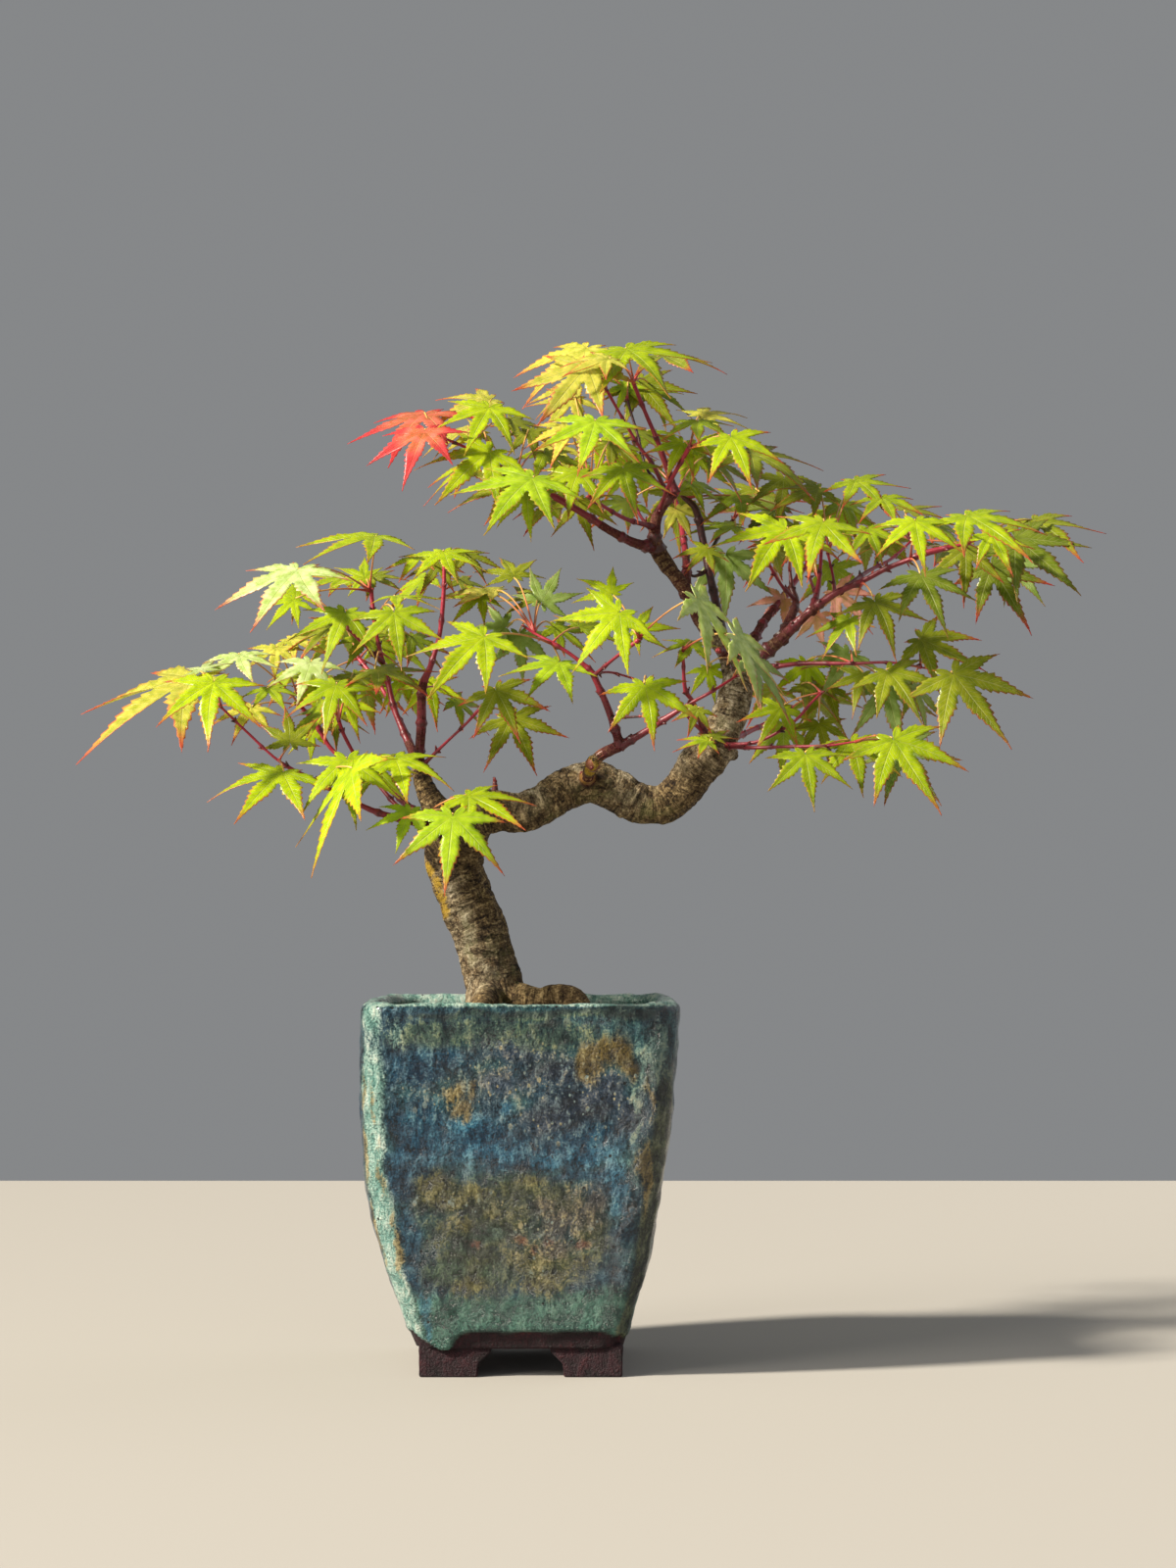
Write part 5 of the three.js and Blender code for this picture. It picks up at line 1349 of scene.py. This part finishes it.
# %% Glaze coat
INSIDE_EDGE = 112  # height down to which the glaze goes inside
LEAN = 2.0 * MM
WALL_WAVE = 0.9
CLAY_BACK = 0.55  # the bare clay stands back by this, in mm


def soft_step(value, start, end):
    """0 before the start and 1 past the end, for a number or an array."""
    share = np.clip((value - start) / (end - start), 0, 1)
    return share * share * (3 - 2 * share)


bm.normal_update()
glazed_layer = bm.verts.layers.float.new("glazed")
moves = []
for vert in bm.verts:
    side, across, z = wall_spot(vert.co)
    outer = vert.normal.dot(Vector((vert.co.x - POT_X * MM, vert.co.y, 0))) > 0 or z > 123
    outer = outer and z > FOOT_HEIGHT + 0.3
    rise = z - glaze_edge(side, across)
    coat = soft_step(rise, -0.2, 0.9) if outer else float(z > INSIDE_EDGE)
    vert[glazed_layer] = coat
    wave = lumps(vert.co, 30) + 0.55 * lumps(vert.co, 12)
    wave += 0.45 * lumps(vert.co, 6) + 0.2 * lumps(vert.co, 3)
    roll = soft_step(abs(across), 0.82, 0.93) - 0.6 * hill(abs(across), 0.8, 0.05)
    drawn = lumps(Vector((vert.co.x, vert.co.y, vert.co.z * 0.4)), 3.2)
    thick = 0.55 + 0.16 * drawn + 0.08 * lumps(vert.co, 1.9) + 0.35 * hill(rise, 1.3, 0.9)
    thick = coat * (thick + 0.3 * roll) if outer else 0
    moves.append((WALL_WAVE * wave * soft_step(z, 9, 30) - CLAY_BACK + thick) * MM)
for vert, move in zip(bm.verts, moves):
    vert.co += vert.normal * move
    vert.co.x -= LEAN * math.sin(math.pi * min(1.0, vert.co.z / (POT_HEIGHT * MM)))
print("walls moved by", round(min(moves) / MM, 2), "to", round(max(moves) / MM, 2), "mm")

# %% [markdown]
# ### Colour zones of the glaze
#
# One dip of glaze gave many colours as it ran and cooled. Blue lies in a band over an olive
# field, sea green has pooled at the foot, ochre and tan show where the coat is thin, violet
# where it is thick, and the glaze breaks to pale mint over the lip and the corners. Each zone is
# a few soft spots, noted as the place across the wall from -1 to 1, the height in mm, and the
# spot's half width and half height. Noise bends the spots out of round. The other three walls
# take the same spots shifted, two of them mirrored, as a dip colours all sides alike but not the
# same.

# %% The spots of every zone
SPOTS = {
    "green": [(-0.5, 117, 0.35, 5), (-0.1, 118, 0.35, 4), (0.2, 115, 0.25, 4),
        (0.1, 123, 0.7, 1.5)],
    "violet": [(0.3, 104, 0.2, 4), (0.05, 110, 0.22, 3), (0.55, 100, 0.12, 5), (0.42, 93, 0.2, 7),
        (0.65, 88, 0.1, 8), (0.2, 88, 0.2, 6), (-0.1, 100, 0.16, 4)],
    "blue": [(-0.62, 104, 0.12, 8), (-0.6, 85, 0.2, 12), (-0.3, 80, 0.3, 6), (0.05, 77, 0.4, 5),
        (0.45, 79, 0.3, 6), (-0.45, 108, 0.12, 4)],
    "bright": [(-0.36, 86, 0.1, 3), (-0.2, 77, 0.12, 2), (0.18, 74, 0.12, 2.5), (0.5, 75, 0.14, 3),
        (0.66, 64, 0.08, 7), (-0.81, 23, 0.06, 5), (-0.85, 17, 0.06, 4), (-0.1, 92, 0.04, 3)],
    "olive": [(-0.5, 62, 0.2, 8), (-0.3, 60, 0.22, 7), (-0.02, 65, 0.26, 6), (-0.1, 54, 0.25, 9),
        (0.25, 60, 0.22, 8), (-0.35, 38, 0.36, 10), (0.2, 40, 0.36, 10), (-0.25, 49, 0.42, 8),
        (0.5, 50, 0.12, 12)],
    "moss": [(-0.2, 49, 0.18, 3.5), (0.17, 51, 0.1, 3), (-0.42, 46, 0.1, 4), (-0.55, 37, 0.14, 5),
        (-0.16, 35, 0.16, 3), (0.42, 44, 0.1, 3), (-0.09, 69, 0.2, 1.5)],
    "straw": [(-0.55, 66, 0.08, 4), (-0.48, 60, 0.14, 3), (-0.34, 63, 0.12, 2.5),
        (-0.42, 52, 0.08, 3.5), (0.05, 68, 0.16, 2), (0.12, 40, 0.14, 3.5), (0.16, 33, 0.2, 3),
        (-0.2, 57, 0.09, 2), (-0.42, 31, 0.1, 3), (0.46, 39, 0.04, 3)],
    "rose": [(0.3, 53, 0.14, 5), (0.47, 58, 0.12, 7), (0.2, 58, 0.1, 3), (0.28, 45, 0.13, 4)],
    "rust": [(-0.34, 46, 0.04, 1.5), (-0.26, 45.5, 0.03, 1.4), (0.01, 47, 0.035, 1.8),
        (0.1, 44.5, 0.035, 1.7), (0.44, 46, 0.04, 1.6), (0.21, 48, 0.03, 1.4)],
    "navy": [(-0.8, 104, 0.04, 9), (-0.79, 86, 0.06, 12), (-0.77, 68, 0.1, 9),
        (-0.79, 50, 0.085, 10), (-0.81, 37, 0.055, 9), (0.72, 52, 0.06, 6), (0.45, 69, 0.2, 1.5)],
    "ochre": [(0.44, 107, 0.045, 7), (0.52, 111, 0.08, 5), (0.63, 112, 0.08, 6),
        (0.7, 106, 0.04, 7)],
    "dusk": [(0.1, 124, 0.5, 1.1), (0.65, 124, 0.25, 1.6), (-0.55, 123.5, 0.2, 1),
        (0.2, 120, 0.1, 2)],
    "tan": [(-0.44, 96, 0.045, 3.5), (-0.37, 92, 0.05, 3), (-0.33, 97, 0.03, 3.5),
        (-0.37, 88, 0.03, 2), (-0.93, 93, 0.025, 6), (-0.92, 70, 0.025, 8), (0.82, 96, 0.03, 7),
        (0.86, 70, 0.04, 10), (-0.9, 45, 0.03, 9)],
    "cream": [(0.7, 94, 0.03, 5), (0.78, 103, 0.04, 7), (0.72, 84, 0.025, 5), (0.9, 110, 0.08, 9),
        (-0.79, 118, 0.05, 5)],
    "specks": [(0.1, 103, 0.6, 12), (-0.5, 98, 0.3, 8), (0.35, 88, 0.4, 8), (0.22, 50, 0.34, 10),
        (-0.4, 60, 0.3, 4), (0.1, 38, 0.25, 6)],
}
# How each wall takes the spots: mirrored or not, shifted across, shifted up in mm
WALLS = [(1, 0, 0), (-1, 0.12, 7), (1, -0.15, -8), (-1, -0.05, 4)]
print("spots on a wall:", sum(map(len, SPOTS.values())))

# %% Paint the zones of the glaze
SEA_LEVEL = 36


def vert_noise(size):
    """Noise at every point of the pot."""
    return np.array([lumps(vert.co, size) for vert in bm.verts])


side, across, height = np.array([wall_spot(vert.co) for vert in bm.verts]).T
mirror, shift, lift = np.array(WALLS)[side.astype(int)].T
bend = vert_noise(17) + 0.6 * vert_noise(6)
sway = np.array([noise.noise_vector(vert.co * per_mm(14)).z for vert in bm.verts])
spot_x = mirror * (across - shift) + 0.09 * bend
spot_z = height - lift + 3.5 * sway
weights = {}
for name, spots in SPOTS.items():
    away = [((spot_x - x) / wide) ** 2 + ((spot_z - z) / tall) ** 2 for x, z, wide, tall in spots]
    weights[name] = np.exp(-np.min(away, axis=0))

corner = soft_step(np.abs(across + 0.03 * sway), 0.82, 0.95)
# The front right corner, turned away from the sun, takes the dark olive shade zone in place of the
# mint break: partly the glaze's own olive, partly painted shade
shaded = ((side == 0) & (across > 0)) | ((side == 1) & (across < 0))
lined = np.array([max(abs(v.co.x / MM - POT_X), abs(v.co.y / MM)) < 49.5 for v in bm.verts])
lip = np.maximum(0.8 * soft_step(height, 125.4, 126.6), lined & (height > INSIDE_EDGE))
faded = 1 - 0.6 * hill(height, 114, 7)
weights["sea"] = soft_step(SEA_LEVEL + 4 * bend - height, 0, 14)
weights["shade"] = corner * shaded * soft_step(112 - height, 0, 20)
weights["mint"] = np.maximum(0.9 * corner * ~shaded * faded, lip)
for name, values in weights.items():
    layer = bm.verts.layers.float.new(name)
    for vert, value in zip(bm.verts, values):
        vert[layer] = value
print("zones:", ", ".join(weights))

# %% [markdown]
# ### Feet
#
# Four feet shaped like a corner carry the pot. Each starts as a grid of four squares with one
# taken away, which leaves an L. It is pulled up into the body, and its edges are rounded as
# fingers leave them. The feet are bare clay, fired to a dark purple brown.

# %% One foot
FOOT_HALF = 34.5
FOOT_SIZE = 20
FOOT_THICK = 8.5
FOOT_FLARE = 4.5
FOOT_BURIED = 2
FOOT_EASE = 0.8 * MM
LONG_EDGE = 3 * MM
FOOT_LINES = {-1: FOOT_HALF - FOOT_SIZE, 0: FOOT_HALF - FOOT_THICK, 1: FOOT_HALF}


def inwardness(face):
    """How far a face lies from the pot's middle line, in mm."""
    middle = face.calc_center_median() / MM
    return abs(middle.x - POT_X) + abs(middle.y)


def foot_shape(sx, sy):
    """One foot, at the corner that the two signs name."""
    foot = bmesh.new()
    for vert in bmesh.ops.create_grid(foot, x_segments=2, y_segments=2, size=1)["verts"]:
        x, y = FOOT_LINES[round(vert.co.x)], FOOT_LINES[round(vert.co.y)]
        vert.co = Vector((POT_X + sx * x, sy * y, 0)) * MM
    bmesh.ops.delete(foot, geom=[min(foot.faces, key=inwardness)], context="FACES")
    bmesh.ops.dissolve_limit(foot, angle_limit=0.02, verts=foot.verts, edges=foot.edges)
    grown_up = bmesh.ops.extrude_face_region(foot, geom=list(foot.faces))["geom"]
    lifted = [v for v in grown_up if isinstance(v, bmesh.types.BMVert)]
    bmesh.ops.translate(foot, verts=lifted, vec=(0, 0, (FOOT_HEIGHT + FOOT_BURIED) * MM))
    bmesh.ops.recalc_face_normals(foot, faces=foot.faces)
    bmesh.ops.bevel(foot, geom=list(foot.edges), offset=FOOT_EASE, affect="EDGES", segments=3,
                    profile=0.5, material=-1)
    bmesh.ops.triangulate(foot, faces=[f for f in foot.faces if len(f.verts) > 4])
    bmesh.ops.subdivide_edges(foot, edges=[e for e in foot.edges if e.calc_length() > LONG_EDGE],
                              cuts=4, use_grid_fill=True)
    foot.normal_update()
    for vert in foot.verts:
        z = vert.co.z / MM
        bump = 0.4 * lumps(vert.co, 6) + 0.18 * lumps(vert.co, 2)
        flare = FOOT_FLARE * soft_step(z, 2, FOOT_HEIGHT) ** 2
        for axis, middle in ((0, POT_X), (1, 0)):
            inward = vert.co[axis] / MM - middle
            if abs(inward) < FOOT_HALF - FOOT_SIZE / 2:
                vert.co[axis] -= math.copysign(flare, inward) * MM
        flat_normal = Vector((vert.normal.x, vert.normal.y, 0))
        vert.co += flat_normal * bump * soft_step(z, 0.2, 2) * MM
    return foot


print("foot:", FOOT_SIZE, "mm long on both sides and", FOOT_THICK, "mm thick")

# %% Add the feet
shell_count = len(bm.verts)
for sx in (-1, 1):
    for sy in (-1, 1):
        merge(bm, foot_shape(sx, sy))
print("feet added:", len(bm.verts) - shell_count, "points")

# %% [markdown]
# The material mixes the zones one over the other, each with its edge broken up by noise. Tiny
# light and dark specks, stretched downwards as the glaze ran, give the mottled look of the upper
# part. The glaze is satin with a fine orange peel and open pinholes. The bare clay is matt.

# %% Colours of the zones
ZONES = [  # name, its colours from dark to light, how ragged its edge is, how well it covers
    ("violet", "#151a27 #2b3345 #474c60 #80869a", 2.0, 0.65),
    ("green", "#1b2c29 #385247 #5c7357 #9ba473", 1.8, 0.8),
    ("sea", "#29504a #3c6b5f #538878 #7bab97", 0.8, 1.0),
    ("olive", "#1a2316 #353f28 #555b38 #8c8b5e", 1.0, 1.0),
    ("blue", "#072338 #103f5a #215d79 #5a93a8", 1.2, 0.85),
    ("moss", "#15241e #294034 #405d4c #6a8467", 1.2, 0.8),
    ("straw", "#3d3a22 #6a6336 #90874f #bcb27a", 2.4, 0.6),
    ("rose", "#2e2728 #564b49 #7b6c62 #b5a488", 2.2, 0.6),
    ("navy", "#071a2a #0f334a #1b4e69 #47788f", 0.9, 0.85),
    ("bright", "#103a52 #20607f #3883a4 #7bb3c6", 2.2, 0.6),
    # Dark olive for the front right corner: partly the glaze's colour, partly painted shade
    ("shade", "#1a2216 #3c4329 #5e643f #8d9069", 1.2, 0.85),
    ("mint", "#6b9c92 #94bfb2 #c0ddcf #e8f2e2", 1.0, 1.0),
    ("ochre", "#3a2e12 #62501c #826a28 #a08a45", 0.9, 0.9),
    ("tan", "#52421f #826c35 #aa8f4a #cdb67e", 2.4, 0.75),
    ("cream", "#55807a #87aca2 #b2c8b0 #dfe4c2", 2.0, 0.65),
    ("dusk", "#0e1719 #1a2829 #2f4140 #6b7d72", 1.6, 0.85),
    ("rust", "#4a1f19 #763428 #9c5a3e #c79a74", 2.2, 0.6)]
ZONE_STEPS = (0.435, 0.485, 0.535, 0.59)
GROUND_STEPS = (0.43, 0.485, 0.54, 0.6)
print("zones with colours:", len(ZONES))

# %% Lay the zones over each other
glaze = Finish("glazed_stoneware", "#2f5666", 0.4, 0.35)
here = glaze.here()


def drawn_down(height):
    """The place with its height squeezed, which draws a pattern out downwards."""
    return glaze.node("Mapping", {}, {0: here, 3: (1.0, 1.0, height)}).outputs[0]


def zone(tone, name, texts, ragged, strength):
    """Lays a zone over the colours so far."""
    spots = glaze.painted(name)
    frayed = glaze.math("SUBTRACT", rough_edge, 0.5)
    torn = glaze.math("MULTIPLY_ADD", frayed, ragged * 2, spots)
    share = glaze.times(glaze.between(torn, 0.1, 0.75), glaze.between(spots, 0.02, 0.3))
    return glaze.mix(glaze.times(share, strength), tone, glaze.ramp(depth, ZONE_STEPS, texts))


patch = glaze.clouds(here, 22, 4, 0.6)
blot = glaze.clouds(here, 7, 6, 0.65)
streak = glaze.clouds(drawn_down(0.45), 2.4, 5, 0.7)
grit = glaze.clouds(here, 0.8, 3, 0.7)
depth = glaze.total((blot, 0.35), (streak, 0.4), (grit, 0.25))
rough_edge = glaze.total((streak, 0.6), (grit, 0.4))
teal = glaze.ramp(depth, GROUND_STEPS, "#0c252b #20454c #3d696c #84aca2")
slate = glaze.ramp(depth, GROUND_STEPS, "#0d202e #213f50 #3f6274 #84a3b0")
tone = glaze.mix(glaze.between(patch, 0.42, 0.58), teal, slate)
for entry in ZONES:
    tone = zone(tone, *entry)
print("nodes so far:", len(glaze.tree.nodes))

# %% Specks, pinholes and gloss
CLAY_STEPS = (0.4, 0.5, 0.58, 0.66)


def dots(size, empty, wide):
    """Round specks about so many mm apart. A share of their places stays empty."""
    cells = glaze.node("TexVoronoi", {}, {"Vector": drawn_down(0.7), "Scale": per_mm(size)})
    chance = glaze.node("SeparateColor", {}, {0: cells.outputs[1]}).outputs[0]
    radius = glaze.times(glaze.between(chance, empty, 1.0), wide)
    return glaze.between(glaze.math("SUBTRACT", radius, cells.outputs[0]), 0.0, 0.06)


speckled = glaze.painted("specks")
specks = glaze.times(glaze.math("MAXIMUM", dots(3.2, 0.45, 0.3), dots(1.5, 0.5, 0.32)),
                     glaze.between(speckled, 0.1, 0.5))
dabs = glaze.times(glaze.between(rough_edge, 0.52, 0.58), speckled)
specks = glaze.math("MAXIMUM", specks, glaze.times(dabs, 0.8))
beige = glaze.mix(glaze.between(blot, 0.45, 0.55), "#93a9a6", "#c8b98a")
tone = glaze.mix(glaze.times(specks, 0.75), tone, beige)
tone = glaze.mix(glaze.times(glaze.between(grit, 0.44, 0.32), 0.7), tone, "#0a1418")
cells = glaze.node("TexVoronoi", {}, {"Vector": here, "Scale": per_mm(6)})
pinhole = glaze.between(cells.outputs[0], 0.1, 0.07)
tone = glaze.mix(pinhole, tone, "#07090a")
clay = glaze.ramp(depth, CLAY_STEPS, "#12050a #2c0f1a #431822 #6e352e")
glazed = glaze.painted("glazed")
shine = glaze.math("MULTIPLY_ADD", streak, 0.4, 0.08)
rough = glaze.node("Mix", {"data_type": "FLOAT"}, {0: glazed, 2: 0.62, 3: shine}).outputs[0]
glaze.fill(glaze.surface, {"Base Color": glaze.mix(glazed, clay, tone), "Roughness": rough,
                           "Coat Weight": glaze.times(glazed, 0.4), "Coat Roughness": 0.12})
glaze.bump(glaze.total((depth, 9.0), (specks, 0.35), (grit, 0.9), (pinhole, -0.5)), MM)
pot = piece("pot_body", bm, [glaze.material], ["pot"])
print("pot:", len(pot.data.polygons), "faces")

# %% [markdown]
# ## The soil
#
# Bonsai soil is a sieved mix of baked clay and crushed stone. A closed bed fills the pot and is
# mounded round the trunk's foot. Loose grains lie on it: small icospheres of 20 faces, squashed
# and turned by chance. Cushions of moss made of smaller green balls sit against the roots.

# %% The bed
SOIL_EDGE = 117
SOIL_MOUND = 121.5
BED_INSET = WALL + 0.7
BED_HALF = half_at(SOIL_EDGE) - BED_INSET


def soil_level(share):
    """Height in mm of the bed at a share of the way from its middle to its edge."""
    return SOIL_EDGE + (SOIL_MOUND - SOIL_EDGE) * soft_step(1 - share, 0, 0.7)


bm = bmesh.new()
bed = [(half_at(z) - BED_INSET, z, CORNER_INSIDE) for z in (21, 40, 60, 90, SOIL_EDGE)]
bed += [(BED_HALF * share, soil_level(share), CORNER_INSIDE)
        for share in (0.93, 0.82, 0.7, 0.58, 0.46, 0.34, 0.22, 0.1)]
ringed(bm, bed, closed=False)
bmesh.ops.holes_fill(bm, edges=[e for e in bm.edges if e.is_boundary], sides=AROUND)
tint_layer = bm.verts.layers.float_color.new("tint")
for vert in bm.verts:
    vert[tint_layer] = colour("#3b2c22")
    if vert.co.z > (SOIL_EDGE + 0.1) * MM:
        vert.co.z += 0.5 * MM * lumps(vert.co, 4)
print("bed:", len(bm.verts), "points, up to", SOIL_MOUND, "mm high")

# %% Grains
GRAIN_PITCH = 3.1
GRAIN_STRAY = 1.1
GRAIN_TINTS = ("#7a5236", "#8f6a48", "#5a3b2a", "#a58862", "#4a4440", "#6e6257", "#9a5a3c")
random.seed(21)
seed = bmesh.new()
bmesh.ops.create_icosphere(seed, subdivisions=1, radius=1)
seed_mesh = mesh_of("seed", seed)
trunk_foot = [(Vector(row[:3]), row[3]) for row in lines["trunk"][:60]]


def on_soil(x, y, above):
    """A point above the bed, from a place measured in mm from the middle of the pot."""
    return Vector((POT_X + x, y, soil_level(max(abs(x), abs(y)) / BED_HALF) + above)) * MM


def ball(bm, spot, size, squash, tint):
    """A small rough ball of 20 faces."""
    turn = Euler([random.uniform(0, 6) for axis in range(3)]).to_matrix()
    mesh = seed_mesh.copy()
    mesh.transform(Matrix.Translation(spot) @ turn.to_4x4() @ Matrix.Diagonal((*squash, 1)) @
                   Matrix.Scale(size * MM, 4))
    paint(mesh, "tint", "FLOAT_COLOR", "color", list(tint) * len(mesh.vertices))
    pour(bm, mesh)


grains = 0
reach = int(BED_HALF / GRAIN_PITCH)
for i in range(-reach, reach + 1):
    for j in range(-reach, reach + 1):
        x = i * GRAIN_PITCH + random.uniform(-GRAIN_STRAY, GRAIN_STRAY)
        y = j * GRAIN_PITCH + random.uniform(-GRAIN_STRAY, GRAIN_STRAY)
        size = random.uniform(1.1, 2.0)
        squash = [random.uniform(0.7, 1.15) for axis in range(3)]
        spot = on_soil(x, y, 0.3 * size)
        shade = random.uniform(0.75, 1.15)
        tint = colour(random.choice(GRAIN_TINTS), shade)
        if all((middle - spot).length > radius for middle, radius in trunk_foot):
            ball(bm, spot, size, squash, tint)
            grains += 1
print("grains:", grains)

# %% Moss
MOSS = [(489, 1020, -11, 5), (500, 1020, -13, 4), (478, 1020, -4, 6), (530, 1020, -14, 4),
        (515, 1018, 14, 6), (545, 1020, 2, 5), (470, 1022, 16, 5)]
MOSS_BALLS = 9  # for each mm of a cushion's width
for column, row, depth, width in MOSS:
    middle = place(column, row, depth) / MM
    for number in range(MOSS_BALLS * width):
        angle = random.uniform(0, 2 * math.pi)
        out = width * math.sqrt(random.random())
        x = middle.x - POT_X + out * math.cos(angle)
        y = middle.y + out * math.sin(angle)
        spot = on_soil(x, y, 1.6 * (1 - out / width) + 0.6)
        tint = blend("#4b6320", "#a3ad3c", random.random())
        ball(bm, spot, random.uniform(0.5, 0.9), (1, 1, 1.3), tint)
print("cushions of moss:", len(MOSS))

# %% Soil material
grain_clay = Finish("baked_clay_grains", "#6b4a34", 0.95, 0.2)
pores = grain_clay.clouds(grain_clay.here(), 0.5, 4, 0.7)
base = grain_clay.painted("tint", "Color")
tone = grain_clay.mix(grain_clay.between(pores, 0.35, 0.65),
                      grain_clay.mix(0.5, base, "#1f1712"), base)
grain_clay.fill(grain_clay.surface, {"Base Color": tone})
grain_clay.bump(pores, 0.2 * MM)
soil = piece("soil_bed", bm, [grain_clay.material], ["soil"])
print("soil:", len(soil.data.polygons), "faces")

# %% [markdown]
# ## Fittings under the soil
#
# A square of plastic mesh keeps the soil from washing out of the drain hole, and a staple of
# aluminium wire holds it down. Both already have their true shape in the frame, so they keep it
# and only get their finish: satin plastic with a faint grain, and metal with fine drawing marks.

# %% Mesh and wire finishes
FITTINGS = [  # node, material, colour, roughness, specular, metallic, grain and its height in mm
    ("drainage_mesh", "mesh_plastic", "#1d2024", 0.55, 0.4, 0.0, 0.4, 0.03),
    ("mesh_wire", "aluminium_wire", "#a9acae", 0.38, 0.5, 1.0, 0.8, 0.02)]
for name, label, base, roughness, specular, metallic, size, height in FITTINGS:
    finish = Finish(label, base, roughness, specular)
    finish.surface.inputs["Metallic"].default_value = metallic
    finish.bump(finish.clouds(finish.here(), size), height * MM)
    node = frame["nodes"][name]
    node.data.materials.clear()
    node.data.materials.append(finish.material)
print("finished as they are:", ", ".join(entry[0] for entry in FITTINGS))

# %% [markdown]
